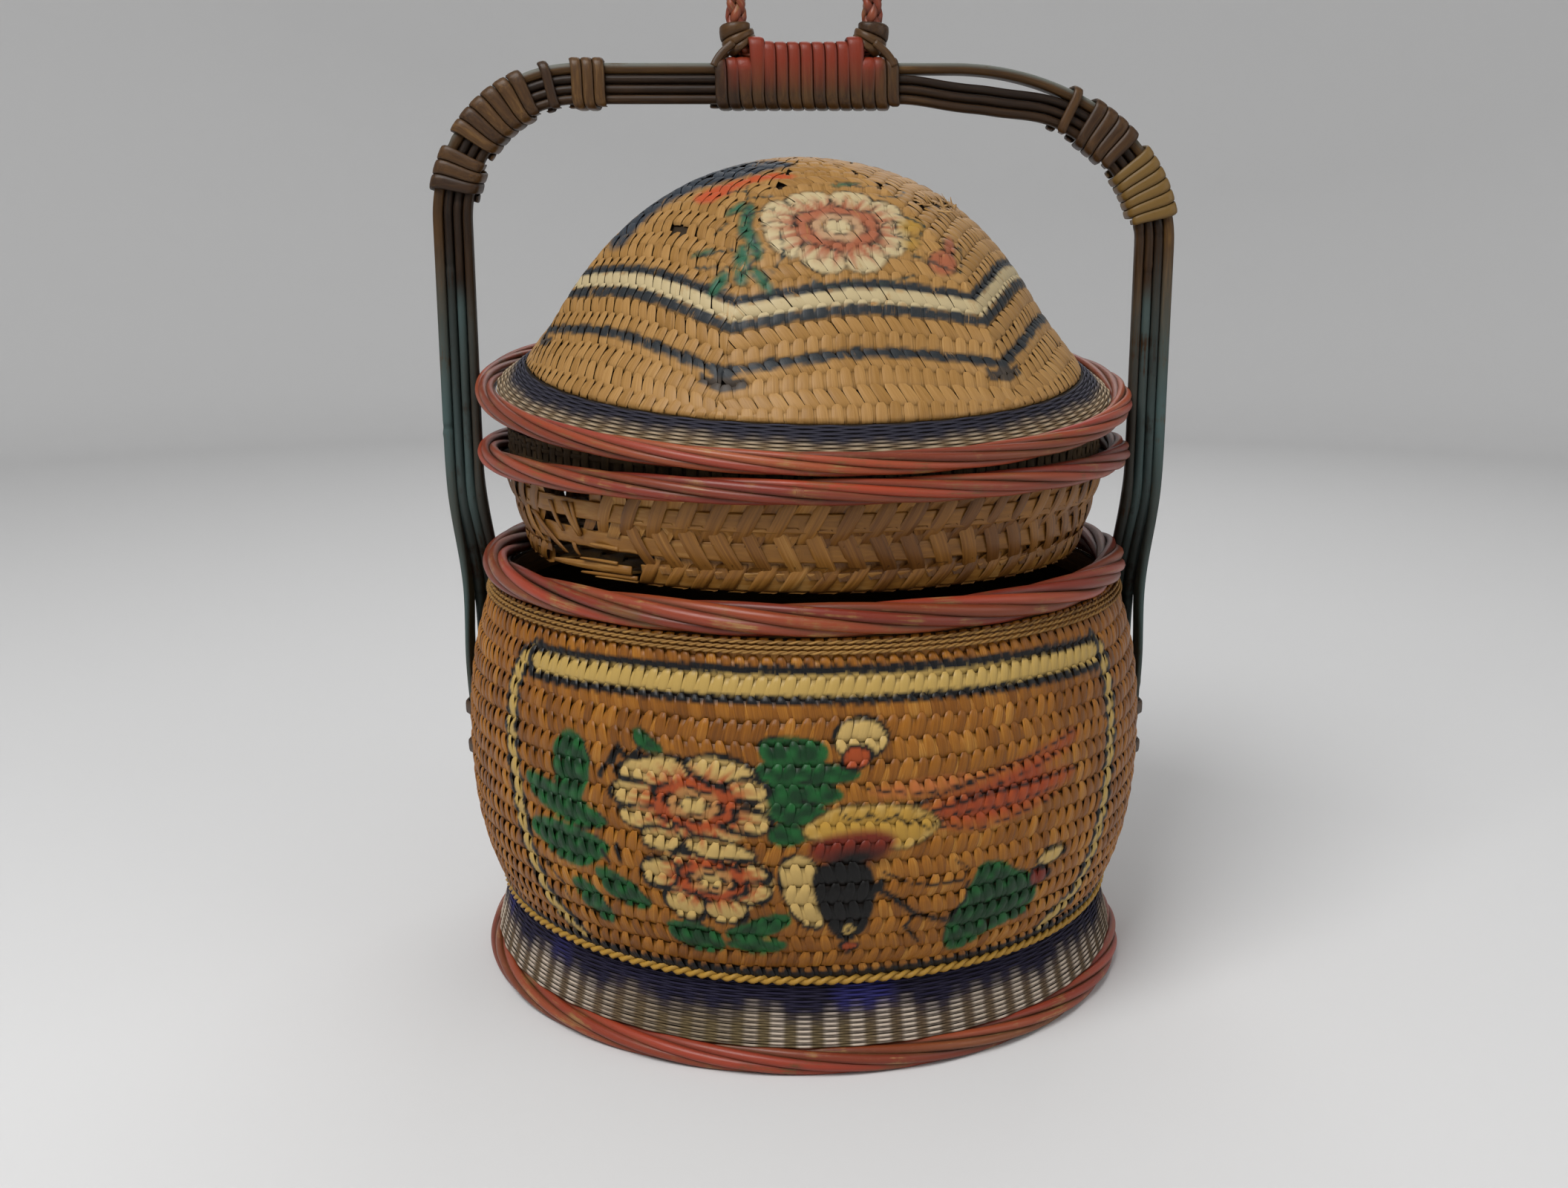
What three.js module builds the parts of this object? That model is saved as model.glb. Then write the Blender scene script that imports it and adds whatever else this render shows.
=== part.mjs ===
// A tiered wedding basket of woven bamboo: a bulging base on a flared foot, a shallow tray, a domed
// lid, and a bent-cane handle bound with split cane that carries a ring at its top.
// Millimetres, +Z up, -Y towards the front. The origin is on the floor under the middle of the foot.
import * as THREE from "three";

// Shared
const GAP = 0.3; // clearance between pieces that touch
const AROUND = 44; // facets round the large revolved pieces, with one on each axis
const RIM_OUTER_RADIUS = 177; // outside of the base, tray and lid ropes, which stack flush

// Base
const FOOT_INSET = 2; // of the middle of the foot rope, from the outside of the rims
const FOOT_ROPE_RADIUS = 6.7;
const FOOT_FLAT = 0.6; // depth worn flat where the foot stands
const SKIRT_HEIGHT = 30;
const SKIRT_WALL = 3;
const WAIST_INSET = 10; // of the middle of the wall where the base meets its skirt
const BASE_WALL = 4;
const BASE_WALL_HEIGHT = 172;
const BULGE_REACH = 10; // of the base at its widest, beyond the rims
const BULGE_HEIGHT = 88; // above the bottom edge of the wall
const BULGE_LOWER_POWER = 2.6; // how late the wall turns in towards the waist
const BULGE_UPPER_POWER = 2.2; // how late the wall turns in towards the mouth
const BASE_FLOOR = 4;
const RIM_ROPE_RADIUS = 8;
const TWINE_HEIGHT = 7;
const TWINE_THICKNESS = 2.4;
const MOUTH_HOOP_HEIGHT = 14;
const MOUTH_HOOP_THICKNESS = 3;

// Tray
const TRAY_RISE = 51; // from the bottom of the tray to the middle of its rope
const TRAY_ROPE_RADIUS = 6.2;
const TRAY_INSET = 26; // of the bottom of the tray, from the outside of the rims
const TRAY_WALL = 3;
const TRAY_FLOOR = 4;
const NECK_THICKNESS = 2.5;
const NECK_SHARE = 0.65; // height of the neck above the tray rope, in lid rope diameters

// Lid
const LID_ROPE_RADIUS = 5.6;
const LID_TILT = 7.1; // degrees, front edge down
const LID_ROLL = 1.1; // degrees, right edge down
const BRIM_WALL = 3;
const BRIM_RISE = 11.1;
const BRIM_WIDTH = 16; // from the lid rope in to the dome
const DOME_HEIGHT = 105.5; // from the brim to the crown
const DOME_SWELL = 0.5; // how full the dome is below its crown
const DOME_WALL = 3.5;
const DOME_SIDES = 6;
const DOME_AROUND = 8 * DOME_SIDES; // facets, with one on each corner
const DOME_COURSES = 9; // bands of the weave, each of three rows
const COURSE_CREST = 0.7; // how far a course stands out in its middle
const COURSE_GROOVE = 0.1; // how far the surface stands out between two courses
const COURSE_DIP = 10; // how far a course dips at the corners
const COURSE_BOW = 1.7; // how late it dips on its way to a corner
const OUTLINE_STEPS = 24;
const INNER_BANDS = 6;
const DOME_FACET_SHARE = 0.42; // how far the sides flatten towards a true hexagon
const DOME_LEAN = 0.015; // how far the crown leans to the left, per millimetre of height
const DOME_CORNER_TURN = 14; // degrees from +X to the nearest corner
const LID_HOOP_THICKNESS = 3;
const LID_HOOP_HEIGHT = 8;

// Handle
const HAND_GAP = 27.5; // room between the crown of the lid and the crossbar
const LEFT_REACH = 58; // the bends of the bundle, on its inside
const LEFT_DROP = 60;
const RIGHT_REACH = 100;
const RIGHT_DROP = 72;
const STRIP_THICKNESS = 5.5; // flat outer strip of the bundle
const STRIP_WIDTH = 15;
const CANE_THICKNESS = 4.6;
const CANE_WIDTH = 9;
const CANE_LAYERS = 3;
const CANE_GAP = 0.4;
const REAR_CANE_THICKNESS = 6;
const REAR_CANE_WIDTH = 5.2;
const FAN_ABOVE_TRAY = 17; // the legs start to spread this far above the tray rope
const FAN_ABOVE_BULGE = 18; // and are spread this far above the widest part of the base
const HUG_ABOVE_BULGE = 14; // the legs lie on the wall from here down
const FAN_FIRST = 4; // degrees round the base, from its side, of the first leg
const FAN_SECOND = 9.2;
const FAN_STEP = 3.6;
const LEG_GAP = 0.5; // clearance of a bent leg on the round wall
const LEG_END = 52; // bottom of the legs above the bottom edge of the base wall
const UPPER_LASHING = 35; // above the ends of the legs
const LOWER_LASHING = 12;
const LASHING_WIDTH = 8;
const LASHING_THICKNESS = 2;

// Cane bindings and ring
const WRAP_WIDTH = 5.2;
const CORNER_WRAP_WIDTH = 4.7;
const THIN_WRAP_WIDTH = 3.6;
const KNOT_WIDTH = 3.2;
const WRAP_THICKNESS = 2.2;
const WRAP_APART = 1.2; // between the turns of a binding
const WRAP_SLACK = 0.5; // how loosely a binding lies round the bundle
const WRAP_POWER = 6; // how square a turn lies
const TURN_STEPS = 16;
const CENTRE_TURNS = 15;
// The bindings of each side in their order from the top of its leg towards the crossbar. Before each
// the bundle is bare for the length of skip turns.
const LEFT_BINDINGS = [
  { name: "left_shoulder_wrap", skip: 2, turns: 3, width: CORNER_WRAP_WIDTH },
  { name: "left_corner_wrap", skip: 1, turns: 6, width: CORNER_WRAP_WIDTH },
  { name: "left_tie", skip: 1, turns: 1, width: CORNER_WRAP_WIDTH },
  { name: "left_top_wrap", skip: 1.1, turns: 3, width: CORNER_WRAP_WIDTH },
];
const RIGHT_BINDINGS = [
  { name: "right_shoulder_wrap", skip: 2.4, turns: 6, width: THIN_WRAP_WIDTH },
  { name: "right_corner_wrap", skip: 0.9, turns: 4, width: CORNER_WRAP_WIDTH },
  { name: "right_tie", skip: 1, turns: 1, width: CORNER_WRAP_WIDTH },
];
const RING_TUBE_RADIUS = 6;
const RING_HALF_WIDTH = 35.5; // to the middle of the tube
const RING_CORNER_RADIUS = 16;
const RING_SIDE = 12; // straight part of each side
const HUMP_HALF_LENGTH = 27; // the stretch of the centre binding that also holds the ring
const KNOT_TURNS = 2;

// Heights and radii that follow from the sizes above
const footRadius = RIM_OUTER_RADIUS - FOOT_INSET;
const waistRadius = RIM_OUTER_RADIUS - WAIST_INSET;
const bulgeRadius = RIM_OUTER_RADIUS + BULGE_REACH;
const footTop = 2 * FOOT_ROPE_RADIUS - FOOT_FLAT;
const skirtBottom = footTop + GAP;
const skirtTop = skirtBottom + SKIRT_HEIGHT;
const wallBottom = skirtTop + GAP;
const wallTop = wallBottom + BASE_WALL_HEIGHT;
const rimRopeMiddle = RIM_OUTER_RADIUS - RIM_ROPE_RADIUS;
const rimRopeHeight = wallTop + GAP + RIM_ROPE_RADIUS;
const mouthRadius = rimRopeMiddle + BASE_WALL / 2;
const trayBottom = rimRopeHeight + RIM_ROPE_RADIUS + GAP;
const trayBottomRadius = RIM_OUTER_RADIUS - TRAY_INSET;
const trayRopeHeight = trayBottom + TRAY_RISE;
const trayRopeMiddle = RIM_OUTER_RADIUS - TRAY_ROPE_RADIUS;
const trayTopRadius = trayRopeMiddle - TRAY_ROPE_RADIUS - GAP;
const neckRadius = trayTopRadius - TRAY_WALL - GAP;
const neckTop = trayRopeHeight + TRAY_ROPE_RADIUS + NECK_SHARE * 2 * LID_ROPE_RADIUS;
const lidRopeMiddle = RIM_OUTER_RADIUS - LID_ROPE_RADIUS;
const brimOuter = lidRopeMiddle - LID_ROPE_RADIUS - GAP;
const domeRadius = brimOuter - BRIM_WIDTH;
const lidPitch = THREE.MathUtils.degToRad(LID_TILT);
const lidRoll = THREE.MathUtils.degToRad(LID_ROLL);
const lidLean = Math.acos(Math.cos(lidPitch) * Math.cos(lidRoll));
const ropesApart = TRAY_ROPE_RADIUS + LID_ROPE_RADIUS * (1 + Math.sin(lidLean) / 2) + GAP;
const lidHeight = trayRopeHeight + ropesApart + lidRopeMiddle * Math.sin(lidLean);
const bundleThickness = STRIP_THICKNESS + CANE_LAYERS * (CANE_THICKNESS + CANE_GAP);
const legInner = RIM_OUTER_RADIUS + GAP;
const legEnd = wallBottom + LEG_END;
const bulgeHeight = wallBottom + BULGE_HEIGHT;
const brimTop = BRIM_WALL / 2 + BRIM_RISE;
const domeBottom = brimTop + GAP;
const crossbarHeight = lidHeight + domeBottom + DOME_HEIGHT + HAND_GAP;
const crossbarTop = crossbarHeight + bundleThickness;

const radians = THREE.MathUtils.degToRad;
const smooth = THREE.MathUtils.smoothstep;

// Materials
function finish(color, roughness) {
  return new THREE.MeshStandardMaterial({ color, roughness, metalness: 0 });
}
const bamboo = finish(0xb98545, 0.7);
const rawSplint = finish(0xa9804a, 0.75);
const redRope = finish(0x9c4a38, 0.55);
const navyWicker = finish(0x3c4468, 0.75);
const handleCane = finish(0x5d4630, 0.6);
const tealStrip = finish(0x4a625f, 0.6);
const bindingCane = finish(0x8a6238, 0.55);

const basket = new THREE.Group();
const tray = new THREE.Group();
const lid = new THREE.Group();
lid.position.z = lidHeight;
lid.rotation.set(lidPitch, lidRoll, 0);
const part = new THREE.Group();
part.add(basket, tray, lid);

function addPiece(group, name, geometry, material) {
  const mesh = new THREE.Mesh(geometry, material);
  mesh.name = name;
  group.add(mesh);
  return mesh;
}

// Solids

// Six times the signed volume that a closed indexed geometry holds.
function signedVolume(geometry) {
  const position = geometry.getAttribute("position");
  const [a, b, c] = [new THREE.Vector3(), new THREE.Vector3(), new THREE.Vector3()];
  let sum = 0;
  for (let i = 0; i < geometry.index.count; i += 3) {
    a.fromBufferAttribute(position, geometry.index.getX(i));
    b.fromBufferAttribute(position, geometry.index.getX(i + 1));
    c.fromBufferAttribute(position, geometry.index.getX(i + 2));
    sum += a.dot(b.cross(c));
  }
  return sum;
}

function facingOut(geometry) {
  if (signedVolume(geometry) < 0) geometry.index.array.reverse();
  return geometry;
}

// Turns a closed profile of [radius, height] points round the Z axis.
function revolve(profile, segments = AROUND) {
  const points = profile.map(([radius, height]) => new THREE.Vector2(radius, height));
  const onAxis = profile[0][0] === 0;
  if (!onAxis) points.push(points[0].clone());
  return facingOut(new THREE.LatheGeometry(points, segments).rotateX(Math.PI / 2));
}

// A rope ring of eight-sided section, flat on its underside where flatDepth is given.
const ROPE_SIDES = 8;
function ropeRing(middle, radius, height, flatDepth = 0) {
  const profile = [];
  const reach = radius / Math.cos(Math.PI / ROPE_SIDES);
  for (let i = 0; i < ROPE_SIDES; i++) {
    const turn = ((i + 0.5) / ROPE_SIDES) * 2 * Math.PI;
    const rise = Math.max(reach * Math.sin(turn), flatDepth - radius);
    profile.push([middle + reach * Math.cos(turn), height + rise]);
  }
  return revolve(profile);
}

// A shell between an outer curve of [radius, height] points and the same curve moved in by wall.
function shell(outer, wall) {
  const inner = outer.map(([radius, height]) => [radius - wall, height]).reverse();
  return revolve([...outer, ...inner]);
}

// A flat disc round the Z axis.
function disc(radius, bottom, thickness) {
  return revolve([
    [0, bottom],
    [radius, bottom],
    [radius, bottom + thickness],
    [0, bottom + thickness],
  ]);
}

const corner = (point, across, u, out, v) =>
  point.clone().addScaledVector(across, u).addScaledVector(out, v);

// Sweeps a section of [across, out] points along stations that each hold a point and two directions.
function sweep(stations, section, closed = false) {
  const positions = [];
  const index = [];
  const sides = section.length;
  for (const { point, across, out } of stations) {
    for (const [u, v] of section) positions.push(...corner(point, across, u, out, v).toArray());
  }
  const rings = stations.length;
  for (let i = 0; i < (closed ? rings : rings - 1); i++) {
    const next = (i + 1) % rings;
    for (let j = 0; j < sides; j++) {
      const k = (j + 1) % sides;
      const [a, b, c, d] = [i * sides + j, i * sides + k, next * sides + k, next * sides + j];
      index.push(a, b, c, a, c, d);
    }
  }
  if (!closed) {
    const last = (rings - 1) * sides;
    for (let j = 1; j < sides - 1; j++) {
      index.push(0, j + 1, j);
      index.push(last, last + j, last + j + 1);
    }
  }
  const geometry = new THREE.BufferGeometry();
  geometry.setAttribute("position", new THREE.Float32BufferAttribute(positions, 3));
  geometry.setIndex(new THREE.Uint32BufferAttribute(index, 1));
  return facingOut(geometry);
}

// A flat strip's section with its four long edges taken off.
function stripSection(width, thickness) {
  const [u, v] = [width / 2, thickness / 2];
  const edge = Math.min(u, v) / 2;
  return [
    [u, v - edge],
    [u - edge, v],
    [edge - u, v],
    [-u, v - edge],
    [-u, edge - v],
    [edge - u, -v],
    [u - edge, -v],
    [u, edge - v],
  ];
}

// A half-round cane's section.
function caneSection(width, thickness) {
  const [u, v] = [width / 2, thickness / 2];
  return [[u, 0], [u - v / 2, v], [v / 2 - u, v], [-u, 0], [v / 2 - u, -v], [u - v / 2, -v]];
}

function roundSection(radius, sides) {
  const points = [];
  for (let i = 0; i < sides; i++) {
    const turn = (i / sides) * 2 * Math.PI;
    points.push([radius * Math.cos(turn), radius * Math.sin(turn)]);
  }
  return points;
}

// Base

// Outside radius of the base wall at a height.
function wallRadius(height) {
  const rise = THREE.MathUtils.clamp(height - wallBottom, 0, BASE_WALL_HEIGHT) - BULGE_HEIGHT;
  const waist = waistRadius + BASE_WALL / 2;
  if (rise < 0) {
    const share = (-rise / BULGE_HEIGHT) ** BULGE_LOWER_POWER;
    return THREE.MathUtils.lerp(bulgeRadius, waist, share);
  }
  const share = (rise / (BASE_WALL_HEIGHT - BULGE_HEIGHT)) ** BULGE_UPPER_POWER;
  return THREE.MathUtils.lerp(bulgeRadius, mouthRadius, share);
}

function buildBase() {
  const footHeight = FOOT_ROPE_RADIUS - FOOT_FLAT;
  const footRope = ropeRing(footRadius, FOOT_ROPE_RADIUS, footHeight, FOOT_FLAT);
  addPiece(basket, "foot_rope", footRope, redRope);

  const half = SKIRT_WALL / 2;
  const skirt = [
    [footRadius + half, skirtBottom],
    [waistRadius + half, skirtTop],
  ];
  addPiece(basket, "foot_skirt", shell(skirt, SKIRT_WALL), navyWicker);

  const wall = [];
  const bands = 7;
  for (let i = 0; i <= bands; i++) {
    const height = wallBottom + (BASE_WALL_HEIGHT * (1 - Math.cos((Math.PI * i) / bands))) / 2;
    wall.push([wallRadius(height), height]);
  }
  addPiece(basket, "base_wall", shell(wall, BASE_WALL), bamboo);

  const floorRadius = waistRadius - BASE_WALL / 2 - GAP;
  addPiece(basket, "base_floor", disc(floorRadius, wallBottom, BASE_FLOOR), rawSplint);
  addPiece(basket, "base_rim_rope", ropeRing(rimRopeMiddle, RIM_ROPE_RADIUS, rimRopeHeight), redRope);

  const twineTop = wallTop - GAP;
  const twineBottom = twineTop - TWINE_HEIGHT;
  const twine = [
    [wallRadius(twineBottom) + GAP + TWINE_THICKNESS, twineBottom],
    [wallRadius(twineTop) + GAP + TWINE_THICKNESS, twineTop],
  ];
  addPiece(basket, "base_rim_twine", shell(twine, TWINE_THICKNESS), rawSplint);

  const hoopBottom = wallTop - MOUTH_HOOP_HEIGHT;
  const hoopRadius = Math.min(wallRadius(hoopBottom), mouthRadius) - BASE_WALL - GAP;
  const hoop = [
    [hoopRadius, hoopBottom],
    [hoopRadius, wallTop],
  ];
  addPiece(basket, "base_mouth_hoop", shell(hoop, MOUTH_HOOP_THICKNESS), rawSplint);
}

// Tray
function buildTray() {
  const wall = [
    [trayBottomRadius, trayBottom],
    [trayTopRadius, trayRopeHeight - TRAY_ROPE_RADIUS],
    [trayTopRadius, trayRopeHeight],
  ];
  addPiece(tray, "tray_wall", shell(wall, TRAY_WALL), rawSplint);
  const floorRadius = trayBottomRadius - TRAY_WALL - GAP;
  addPiece(tray, "tray_floor", disc(floorRadius, trayBottom, TRAY_FLOOR), rawSplint);
  addPiece(tray, "tray_rope", ropeRing(trayRopeMiddle, TRAY_ROPE_RADIUS, trayRopeHeight), redRope);
  const neck = [
    [neckRadius, trayRopeHeight - TRAY_ROPE_RADIUS],
    [neckRadius, neckTop],
  ];
  addPiece(tray, "tray_neck", shell(neck, NECK_THICKNESS), rawSplint);
}

// Lid, in its own frame with the middle of its rope at the origin

// How far a six-sided outline lies inside the circle through its corners, at a turn from a corner.
function polygonShare(turn) {
  const side = (2 * Math.PI) / DOME_SIDES;
  const offset = THREE.MathUtils.euclideanModulo(turn, side) - side / 2;
  return Math.cos(side / 2) / Math.cos(offset);
}

// The dome's outline, round at the crown and nearly straight down to the brim.
function domeOutline() {
  const points = [];
  for (let i = 0; i <= OUTLINE_STEPS; i++) {
    const share = Math.sin(((Math.PI / 2) * i) / OUTLINE_STEPS);
    const radius = domeRadius * Math.sqrt(Math.max(1 - share ** (1 + DOME_SWELL * share), 0));
    points.push(new THREE.Vector2(radius, domeBottom + DOME_HEIGHT * share));
  }
  return new THREE.SplineCurve(points);
}

// Rings of the dome from its crown down the outside and up the inside again. On the outside each
// course of the weave has a crest in its middle and a groove above it.
function domeRings() {
  const rings = [{ share: 0, lift: 0 }];
  for (let i = 0; i < DOME_COURSES; i++) {
    rings.unshift({ share: (i + 0.5) / DOME_COURSES, lift: COURSE_CREST });
    rings.unshift({ share: (i + 1) / DOME_COURSES, lift: COURSE_GROOVE });
  }
  for (let i = 0; i <= INNER_BANDS; i++) rings.push({ share: i / INNER_BANDS, inside: true });
  return rings;
}

// A closed dome with six sides. Its courses bow up in the middle of each side and dip to the corners.
function domeGeometry() {
  const outline = domeOutline();
  const length = outline.getLength();
  const rings = domeRings();
  const standIn = rings.map(({ share }) => [share === 1 ? 0 : domeRadius * (1 - share), share]);
  const geometry = revolve(standIn, DOME_AROUND);
  const position = geometry.getAttribute("position");
  const inset = [1 - DOME_WALL / domeRadius, 1 - DOME_WALL / DOME_HEIGHT];
  const side = (2 * Math.PI) / DOME_SIDES;
  for (let i = 0; i < position.count; i++) {
    const { share, lift, inside } = rings[i % rings.length];
    const turn = (Math.floor(i / rings.length) / DOME_AROUND) * 2 * Math.PI;
    const offset = THREE.MathUtils.euclideanModulo(turn - Math.PI / 2, side) - side / 2;
    const level = share * length;
    const fade = smooth(level, -COURSE_DIP, 2 * COURSE_DIP) * smooth(length - level, 0, 9 * COURSE_DIP);
    const bow = Math.abs(offset / (side / 2)) ** COURSE_BOW;
    const dip = share === 0 || inside ? 0 : COURSE_DIP * fade * bow;
    const at = THREE.MathUtils.clamp(share - dip / length, 0, 1);
    const point = outline.getPointAt(at);
    const along = outline.getTangentAt(at);
    let [radius, height] = [point.x + along.y * lift, point.y - along.x * lift];
    if (inside) [radius, height] = [point.x * inset[0], domeBottom + (point.y - domeBottom) * inset[1]];
    if (share === 1) radius = 0;
    const rise = (height - domeBottom) / DOME_HEIGHT;
    const facet = DOME_FACET_SHARE * smooth(rise, 0, 0.3);
    radius *= 1 + facet * (polygonShare(turn - Math.PI / 2) - 1);
    position.setXYZ(i, radius * Math.sin(turn), -radius * Math.cos(turn), height);
  }
  geometry.rotateZ(radians(DOME_CORNER_TURN));
  for (let i = 0; i < position.count; i++) {
    const rise = position.getZ(i) - domeBottom;
    position.setX(i, position.getX(i) - DOME_LEAN * rise);
  }
  return facingOut(geometry);
}

function buildLid() {
  addPiece(lid, "lid_rope", ropeRing(lidRopeMiddle, LID_ROPE_RADIUS, 0), redRope);
  const brim = [
    [brimOuter, -BRIM_WALL / 2],
    [brimOuter, BRIM_WALL / 2],
    [domeRadius, brimTop],
    [domeRadius, brimTop - BRIM_WALL],
  ];
  addPiece(lid, "lid_brim", revolve(brim), navyWicker);
  addPiece(lid, "lid_dome", domeGeometry(), bamboo);
  const hoop = [
    [domeRadius - GAP, brimTop - GAP - LID_HOOP_HEIGHT],
    [domeRadius - GAP, brimTop - GAP],
  ];
  addPiece(lid, "lid_hoop", shell(hoop, LID_HOOP_THICKNESS), rawSplint);
}

// Handle

// The inside of the bundle follows an arch from the left leg over the crossbar to the right leg.
const leftSpring = crossbarHeight - LEFT_DROP;
const rightSpring = crossbarHeight - RIGHT_DROP;
const leftTurn = LEFT_REACH - legInner;
const rightTurn = legInner - RIGHT_REACH;
const arch = new THREE.Path();
arch.absellipse(leftTurn, leftSpring, LEFT_REACH, LEFT_DROP, Math.PI, Math.PI / 2, true);
arch.lineTo(rightTurn, crossbarHeight);
arch.absellipse(rightTurn, rightSpring, RIGHT_REACH, RIGHT_DROP, Math.PI / 2, 0, true);
const archLength = arch.getLength();
const leftCornerLength = arch.curves[0].getLength();
const rightCornerLength = arch.curves.at(-1).getLength();
const archMiddle = leftCornerLength - leftTurn;

// Point and outward direction at a distance along the arch from x = 0 on the crossbar, moved
// outwards by an offset.
function archStation(distance, offset) {
  const share = THREE.MathUtils.clamp((distance + archMiddle) / archLength, 0, 1);
  const inside = arch.getPoint(share);
  const along = arch.getTangent(share);
  return place(inside.x - along.y * offset, inside.y + along.x * offset, -along.y, along.x);
}

function place(x, z, dx, dz) {
  return {
    point: new THREE.Vector3(x, 0, z),
    out: new THREE.Vector3(dx, 0, dz),
    across: new THREE.Vector3(0, 1, 0),
  };
}

// Stations of one leg from its spring down to its end: straight, then spread round the base and
// closed on its wall. side is -1 for the left leg and 1 for the right.
function legStations(side, spring, layer) {
  const stations = [];
  const steps = 17;
  for (let i = 0; i <= steps; i++) {
    const height = THREE.MathUtils.lerp(legEnd, spring, (i / steps) ** 1.5);
    const fan = 1 - smooth(height, bulgeHeight + FAN_ABOVE_BULGE, trayRopeHeight + FAN_ABOVE_TRAY);
    const hug = 1 - smooth(height, bulgeHeight + HUG_ABOVE_BULGE, wallTop);
    const radius = legInner + layer.offset;
    const seat = wallRadius(height) + LEG_GAP + layer.thickness / 2;
    const reach = Math.max(THREE.MathUtils.lerp(radius, seat, hug), seat);
    const straight = Math.asin(layer.shift / radius);
    const turn = THREE.MathUtils.lerp(straight, radians(layer.fan), fan);
    const slope = hug * (wallRadius(height + 1) - wallRadius(height - 1)) / 2;
    const out = new THREE.Vector3(side * Math.cos(turn), Math.sin(turn), -slope).normalize();
    stations.push({
      point: new THREE.Vector3(side * reach * Math.cos(turn), reach * Math.sin(turn), height),
      out,
      across: new THREE.Vector3(-side * Math.sin(turn), Math.cos(turn), 0),
    });
  }
  return stations;
}

function archStations(layer) {
  const stations = legStations(-1, leftSpring, layer);
  const stretches = [
    [-archMiddle, leftCornerLength, 8],
    [leftTurn, rightTurn - leftTurn, 2],
    [rightTurn, rightCornerLength, 9],
  ];
  for (const [start, length, steps] of stretches) {
    for (let i = 1; i <= steps; i++) {
      const station = archStation(start + (length * i) / steps, layer.offset);
      station.point.y = layer.shift;
      stations.push(station);
    }
  }
  const right = legStations(1, rightSpring, layer).reverse();
  return [...stations, ...right.slice(1)];
}

// The strips and canes of the bundle, each with its place in the arch and round the base.
const caneStep = CANE_THICKNESS + CANE_GAP;
const caneShift = (CANE_WIDTH - STRIP_WIDTH) / 2;
const layers = [
  {
    name: "handle_outer_strip",
    offset: CANE_LAYERS * caneStep + STRIP_THICKNESS / 2,
    thickness: STRIP_THICKNESS,
    width: STRIP_WIDTH,
    shift: 0,
    fan: FAN_FIRST,
  },
];
for (let i = CANE_LAYERS - 1; i >= 0; i--) {
  layers.push({
    name: `handle_cane_${i + 1}`,
    offset: CANE_THICKNESS / 2 + i * caneStep,
    thickness: CANE_THICKNESS,
    width: CANE_WIDTH,
    shift: caneShift,
    fan: FAN_SECOND + (CANE_LAYERS - 1 - i) * FAN_STEP,
  });
}
layers.push({
  name: "handle_rear_cane",
  offset: (CANE_LAYERS * caneStep) / 2,
  thickness: REAR_CANE_THICKNESS,
  width: REAR_CANE_WIDTH,
  shift: caneShift + CANE_WIDTH / 2 + CANE_GAP + REAR_CANE_WIDTH / 2,
  fan: FAN_SECOND + CANE_LAYERS * FAN_STEP,
});

function buildCanes() {
  for (const layer of layers) {
    const isStrip = layer.name === "handle_outer_strip";
    const section = isStrip ? stripSection : caneSection;
    const geometry = sweep(archStations(layer), section(layer.width, layer.thickness));
    addPiece(basket, layer.name, geometry, isStrip ? tealStrip : handleCane);
  }
}

// A cane lashing that holds the legs of one side to the wall, stepping over each in turn.
function lashing(side, height) {
  const radius = wallRadius(height);
  const slope = (wallRadius(height + 1) - wallRadius(height - 1)) / 2;
  const half = LASHING_THICKNESS / 2;
  const steps = [];
  for (const layer of layers) {
    const reach = layer.width / 2 / radius;
    const over = LEG_GAP + layer.thickness + GAP + half;
    steps.push([radians(layer.fan) - reach, over], [radians(layer.fan) + reach, over]);
  }
  const land = LASHING_WIDTH / radius;
  const wallGap = LEG_GAP + half;
  const [first, last] = [steps[0][0], steps[steps.length - 1][0]];
  const ends = [
    [first - 2 * land, wallGap],
    [first - land, wallGap],
  ];
  const path = [...ends, ...steps, [last + land, wallGap], [last + 2 * land, wallGap]];
  const stations = path.map(([turn, lift]) => {
    const round = new THREE.Vector3(side * Math.cos(turn), Math.sin(turn), 0);
    const out = round.clone().setZ(-slope).normalize();
    const across = new THREE.Vector3(slope * round.x, slope * round.y, 1).normalize();
    const point = round.multiplyScalar(radius).setZ(height).addScaledVector(out, lift);
    return { point, out, across };
  });
  return sweep(stations, caneSection(LASHING_WIDTH, LASHING_THICKNESS));
}

function buildLashings() {
  const heights = { upper: legEnd + UPPER_LASHING, lower: legEnd + LOWER_LASHING };
  for (const [place, height] of Object.entries(heights)) {
    addPiece(basket, `left_${place}_lashing`, lashing(-1, height), bindingCane);
    addPiece(basket, `right_${place}_lashing`, lashing(1, height), bindingCane);
  }
}

// Bindings

// The middle of the bundle at a distance along the arch.
const bundleStation = (distance) => archStation(distance, bundleThickness / 2);

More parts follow.
